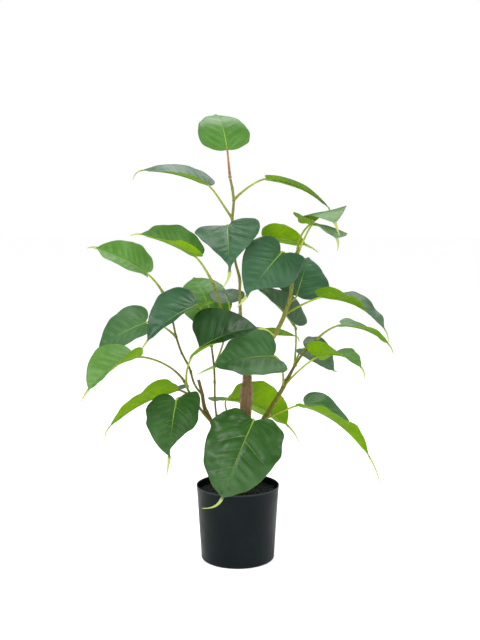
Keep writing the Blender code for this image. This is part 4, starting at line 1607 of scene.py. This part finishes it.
@dataclass(frozen=True)
class Pot:
    """A thin tapered nursery pot with a rounded foot and a rolled lip."""

    height: float = 111.0
    top_radius: float = 61.2
    base_radius: float = 54.3
    wall: float = 1.4
    floor: float = 2.2
    foot_round: float = 3.0
    lip_height: float = 2.6
    lip_proud: float = 0.35
    lip_flatness: float = 0.8
    hub_radii: tuple[float, ...] = (0.4, 12.0, 26.0, 40.0)
    foot_rows: int = 9
    outer_rows: int = 44
    lip_rows: int = 13
    inner_rows: int = 20
    steps: int = 192

    def wall_radius(self, z: Array) -> Array:
        """Outer radius of the plain wall at heights."""
        return self.base_radius + (self.top_radius - self.base_radius) * z / self.height

    def profile(self) -> tuple[Array, Array]:
        """The wall's section, from the base's middle up and back in.

        The foot is a quarter circle and the lip half an ellipse over the wall's thickness.

        Returns:
            Radii and heights.
        """
        turn = np.linspace(0, math.pi / 2, self.foot_rows)
        foot_r = self.base_radius - self.foot_round * (1 - np.sin(turn))
        foot_z = self.foot_round * (1 - np.cos(turn))
        outer_z = np.linspace(self.foot_round + 2, self.height - self.lip_height, self.outer_rows)
        shrink = self.lip_proud * ease(self.height, self.height - 4 * self.lip_height, outer_z)
        half = self.wall / 2
        lip = np.linspace(0, math.pi, self.lip_rows)
        lip_r = self.top_radius - half + half * np.cos(lip)
        lip_z = self.height - half * self.lip_flatness + half * self.lip_flatness * np.sin(lip)
        inner_z = np.linspace(self.height - self.lip_height, self.floor + 1.0, self.inner_rows)
        inner_r = self.wall_radius(inner_z) - self.wall
        hub, outer_r = np.array(self.hub_radii), self.wall_radius(outer_z) - shrink
        r = np.concatenate([hub, foot_r, outer_r, lip_r, inner_r, hub[::-1]])
        z = [0 * hub, foot_z, outer_z, lip_z, inner_z, 0 * hub + self.floor]
        return r, np.concatenate(z)

    def build(self, finish: Material) -> Piece:
        """Spin the profile round Z: P(t, s) = (r(s) cos t, r(s) sin t, z(s)).

        Args:
            finish: The plastic.

        Returns:
            The object.
        """
        turns = full_turn(self.steps)
        r, z = (values[:, None] * np.ones(self.steps) for values in self.profile())
        rings = np.stack([r * np.cos(turns), r * np.sin(turns), z], -1)
        # The lip mark places the painted highlight on the top of the lip.
        lip = ease(self.height - 1.5, self.height - 0.2, z)
        piece = make_loft("pot_shell", rings[::-1], {"lip": lip[::-1]}, [finish])
        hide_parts("pot")
        return piece


@dataclass(frozen=True)
class Soil:
    """Loose dark compost: an uneven bed and crumbs of several sizes lying on it."""

    top: float = 100.5
    foot: float = 2.5
    side_gap: float = 1.6
    bumps: float = 1.5
    settled: float = 0.7
    bump_sizes: tuple[Pair, ...] = ((1.0, 17.0), (0.55, 6.0), (0.40, 2.3))
    rings: int = 52
    side_rows: int = 8
    steps: int = 132
    crumbs: int = 420
    crumb_gap: float = 1.5
    crumb_seed: int = 17
    pot: Pot = Pot()

    def surface(self, x: Array, y: Array) -> Array:
        """Height of the bed: the level top with noise of three sizes.

        Args:
            x: Places to the right.
            y: Places to the back.

        Returns:
            The heights.
        """
        rough = 0.0
        for k, (share, size) in enumerate(self.bump_sizes):
            rough = rough + share * value_noise(flat_places(x, y), size, k + 2.0)
        return self.top + self.bumps * rough * self.settled

    def build_bed(self, finish: Material) -> Piece:
        """Spin the fill: flat underneath, a plain side inside the pot, and the uneven top.

        Args:
            finish: The compost.

        Returns:
            The object.
        """
        low, high = (self.pot.wall_radius(z) - self.side_gap for z in (self.foot, self.top))
        turns, wide = full_turn(self.steps), np.ones(self.steps)
        top_r = high * (1 - np.linspace(0, 1, self.rings) ** 1.1 * 0.995)
        side_z = np.linspace(self.foot, self.top - 3, self.side_rows)
        side_r = mix(low, high, (side_z - self.foot) / (self.top - self.foot))
        r = np.concatenate([[0.4, low * 0.5], side_r, top_r])[:, None] * wide
        x, y = r * np.cos(turns), r * np.sin(turns)
        z = np.concatenate([[self.foot, self.foot], side_z])[:, None] * wide
        z = np.vstack([z, self.surface(x[-self.rings :], y[-self.rings :])])
        piece = make_loft("soil_bed", np.stack([x, y, z], -1), {}, [finish])
        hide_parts("soil")
        return piece

    def build_crumbs(self, finish: Material) -> Piece:
        """Scatter crumbs: each is a 20-sided solid with its corners pushed in and out.

        Args:
            finish: The compost.

        Returns:
            The object.
        """
        g = (1 + math.sqrt(5)) / 2
        corners = unit(
            np.array(
                [(-1, g, 0), (1, g, 0), (-1, -g, 0), (1, -g, 0), (0, -1, g), (0, 1, g),
                 (0, -1, -g), (0, 1, -g), (g, 0, -1), (g, 0, 1), (-g, 0, -1), (-g, 0, 1)]
            )
        )
        faces = np.array(
            [(0, 11, 5), (0, 5, 1), (0, 1, 7), (0, 7, 10), (0, 10, 11), (1, 5, 9), (5, 11, 4), (11, 10, 2),
             (10, 7, 6), (7, 1, 8), (3, 9, 4), (3, 4, 2), (3, 2, 6), (3, 6, 8), (3, 8, 9), (4, 9, 5),
             (2, 4, 11), (6, 2, 10), (8, 6, 7), (9, 8, 1)]
        )
        rng = np.random.default_rng(self.crumb_seed)
        reach = self.pot.wall_radius(self.top) - self.side_gap - self.crumb_gap
        r = reach * np.sqrt(rng.uniform(0.0, 1.0, self.crumbs))
        turn = rng.uniform(0, 2 * math.pi, self.crumbs)
        x, y = r * np.cos(turn), r * np.sin(turn)
        size = 0.7 + 1.7 * rng.uniform(0, 1, self.crumbs) ** 2.5
        squash = rng.uniform(0.55, 1.1, (self.crumbs, 1, 3))
        push = rng.uniform(0.7, 1.2, (self.crumbs, 12, 1))
        seats = np.stack([x, y, self.surface(x, y) + 0.25 * size], -1)
        points = seats[:, None] + corners[None] * size[:, None, None] * squash * push
        shifted = faces[None] + (np.arange(self.crumbs) * 12)[:, None, None]
        piece = make_piece("soil_crumbs", points, shifted.reshape(-1, 3).tolist(), {}, [finish])
        return piece


# ---- Studio


@dataclass(frozen=True)
class Lamp:
    """A square soft light."""

    name: str
    place: Point
    aim: Point
    size: float
    power: float

    def build(self) -> None:
        """Hang the light and turn its face, which looks down, towards its aim."""
        data = bpy.data.lights.new(self.name, "AREA")
        data.size = self.size
        data.energy = self.power
        light = bpy.data.objects.new(self.name, data)
        light.location = self.place
        heading = unit(np.array(self.aim) - np.array(self.place))
        light.rotation_euler = (math.acos(-heading[2]), 0.0, math.atan2(-heading[0], heading[1]))
        bpy.context.scene.collection.objects.link(light)


@dataclass(frozen=True)
class Studio:
    """A pale seamless floor, a white world, soft lights and the camera, in metres and degrees."""

    eye: Point = (0.0033, -1.377, 0.498)
    tilt: float = 5.9
    lens: float = 53.4
    sensor: float = 36.0
    floor_half: float = 30.0
    floor_roughness: float = 0.85
    floor_glow: float = 0.55
    ambient: float = 0.48
    lamps: tuple[Lamp, ...] = (
        Lamp("key_light", (-1.1, -1.5, 2.2), (0.0, 0.0, 0.35), 1.0, 28.0),
        Lamp("fill_light", (1.9, -1.3, 1.1), (0.0, 0.0, 0.35), 1.4, 10.0),
        Lamp("front_light", (-0.4, -2.6, 0.9), (0.0, 0.0, 0.3), 1.4, 18.0),
        Lamp("top_light", (0.3, 0.8, 2.2), (0.0, 0.0, 0.4), 1.2, 22.0),
    )

    def build(self) -> None:
        """Make everything round the plant."""
        self.build_camera()
        self.build_floor()
        self.build_world()
        for lamp in self.lamps:
            lamp.build()

    def build_camera(self) -> None:
        """Place the camera level with the leaves, tilted a little down."""
        data = bpy.data.cameras.new("camera")
        data.sensor_fit = "VERTICAL"
        data.sensor_height = self.sensor
        data.lens = self.lens
        camera = bpy.data.objects.new("camera", data)
        camera.location = self.eye
        camera.rotation_euler = (math.radians(90 - self.tilt), 0.0, 0.0)
        bpy.context.scene.collection.objects.link(camera)
        bpy.context.scene.camera = camera

    def build_floor(self) -> None:
        """Lay the floor under the pot."""
        half = self.floor_half
        mesh = bpy.data.meshes.new("floor")
        corners = [(-half, -half, 0.0), (half, -half, 0.0), (half, half, 0.0), (-half, half, 0.0)]
        mesh.from_pydata(corners, [], [(0, 1, 2, 3)])
        floor = bpy.data.objects.new("floor", mesh)
        recipe = Recipe("floor_white")
        grain = recipe.step(recipe.noise(recipe.places(), 3.0), 0.3, 0.7)
        colour = recipe.blend(grain, (0.90, 0.90, 0.90), (0.93, 0.93, 0.93))
        recipe.into(Base_Color=colour, Roughness=self.floor_roughness)
        glowing = recipe.into(Emission_Color=(1.0, 1.0, 1.0), Emission_Strength=self.floor_glow)
        mesh.materials.append(glowing)
        bpy.context.scene.collection.objects.link(floor)

    def build_world(self) -> None:
        """Surround the plant with white, and light it evenly with about half of that."""
        world = bpy.data.worlds.new("white_world")
        world.use_nodes = True
        tree = world.node_tree
        background = tree.nodes["Background"]
        background.inputs["Color"].default_value = (1.0, 1.0, 1.0, 1.0)
        seen = tree.nodes.new("ShaderNodeLightPath")
        strength = tree.nodes.new("ShaderNodeMapRange")
        strength.inputs["To Min"].default_value = self.ambient
        strength.inputs["To Max"].default_value = 1.0
        tree.links.new(seen.outputs["Is Camera Ray"], strength.inputs["Value"])
        tree.links.new(strength.outputs["Result"], background.inputs["Strength"])
        bpy.context.scene.world = world
        bpy.context.scene.view_settings.view_transform = "Standard"


# ---- The plant


@dataclass(frozen=True)
class Plant:
    """The whole potted fig."""

    pot: Pot = Pot()
    soil: Soil = Soil()

    def build(self) -> list[Piece]:
        """Build every piece from the pot up.

        Returns:
            The pieces.
        """
        pieces = [self.pot.build(PotFinish().make())]
        compost = SoilFinish().make()
        pieces += [self.soil.build_bed(compost), self.soil.build_crumbs(compost)]
        routes = self.find_routes()
        return pieces + self.build_stems(routes) + self.build_leaves(routes)

    def find_routes(self) -> dict[str, Route]:
        """Follow every stem's middle line, carriers first.

        Returns:
            Each stem's name to its route.
        """
        routes = {"trunk": Route(TRUNK, None)}
        for plan in STEMS:
            first = routes[plan.carrier].seat(plan.height)[0] if plan.carrier else None
            routes[plan.node] = Route(plan, first)
        return routes

    def build_stems(self, routes: dict[str, Route]) -> list[Piece]:
        """Build the trunk, the stems and their buds.

        Args:
            routes: Each stem's name to its route.

        Returns:
            The pieces.
        """
        barks = {bark: bark.value.make() for bark in Bark}
        pieces = [Trunk(TRUNK, routes["trunk"], barks[TRUNK.bark]).build()]
        for k, plan in enumerate(STEMS):
            pieces.append(Stem(plan, routes[plan.node], barks[plan.bark], seed=k + 2.0).build())
        return pieces + [Buds(plan, routes[plan.node], barks[Bark.TWIG]).build() for plan in STEMS]

    def build_leaves(self, routes: dict[str, Route]) -> list[Piece]:
        """Build the leaves, with one finish for each shade of leaf and each kind of stalk.

        Args:
            routes: Each stem's name to its route.

        Returns:
            The pieces.
        """
        blades = {tone: LeafFinish(tone).make() for tone in Tone}
        stalks = {stalk: stalk.value.make() for stalk in Stalk}
        pieces = []
        for k, plan in enumerate(LEAVES):
            leaf = Leaf(plan, Blade(plan), blades[plan.tone], stalks[plan.stalk], routes, 1.0 + 0.61 * k)
            pieces += leaf.build()
        return pieces


def main() -> None:
    """Build the plant and the studio, and note the sizes."""
    logging.basicConfig(level=logging.INFO, format="%(name)s: %(message)s")
    Studio().build()
    for piece in Plant().build():
        log.info("%s has %d faces", piece.name, len(piece.data.polygons))


if __name__ == "__main__":
    main()
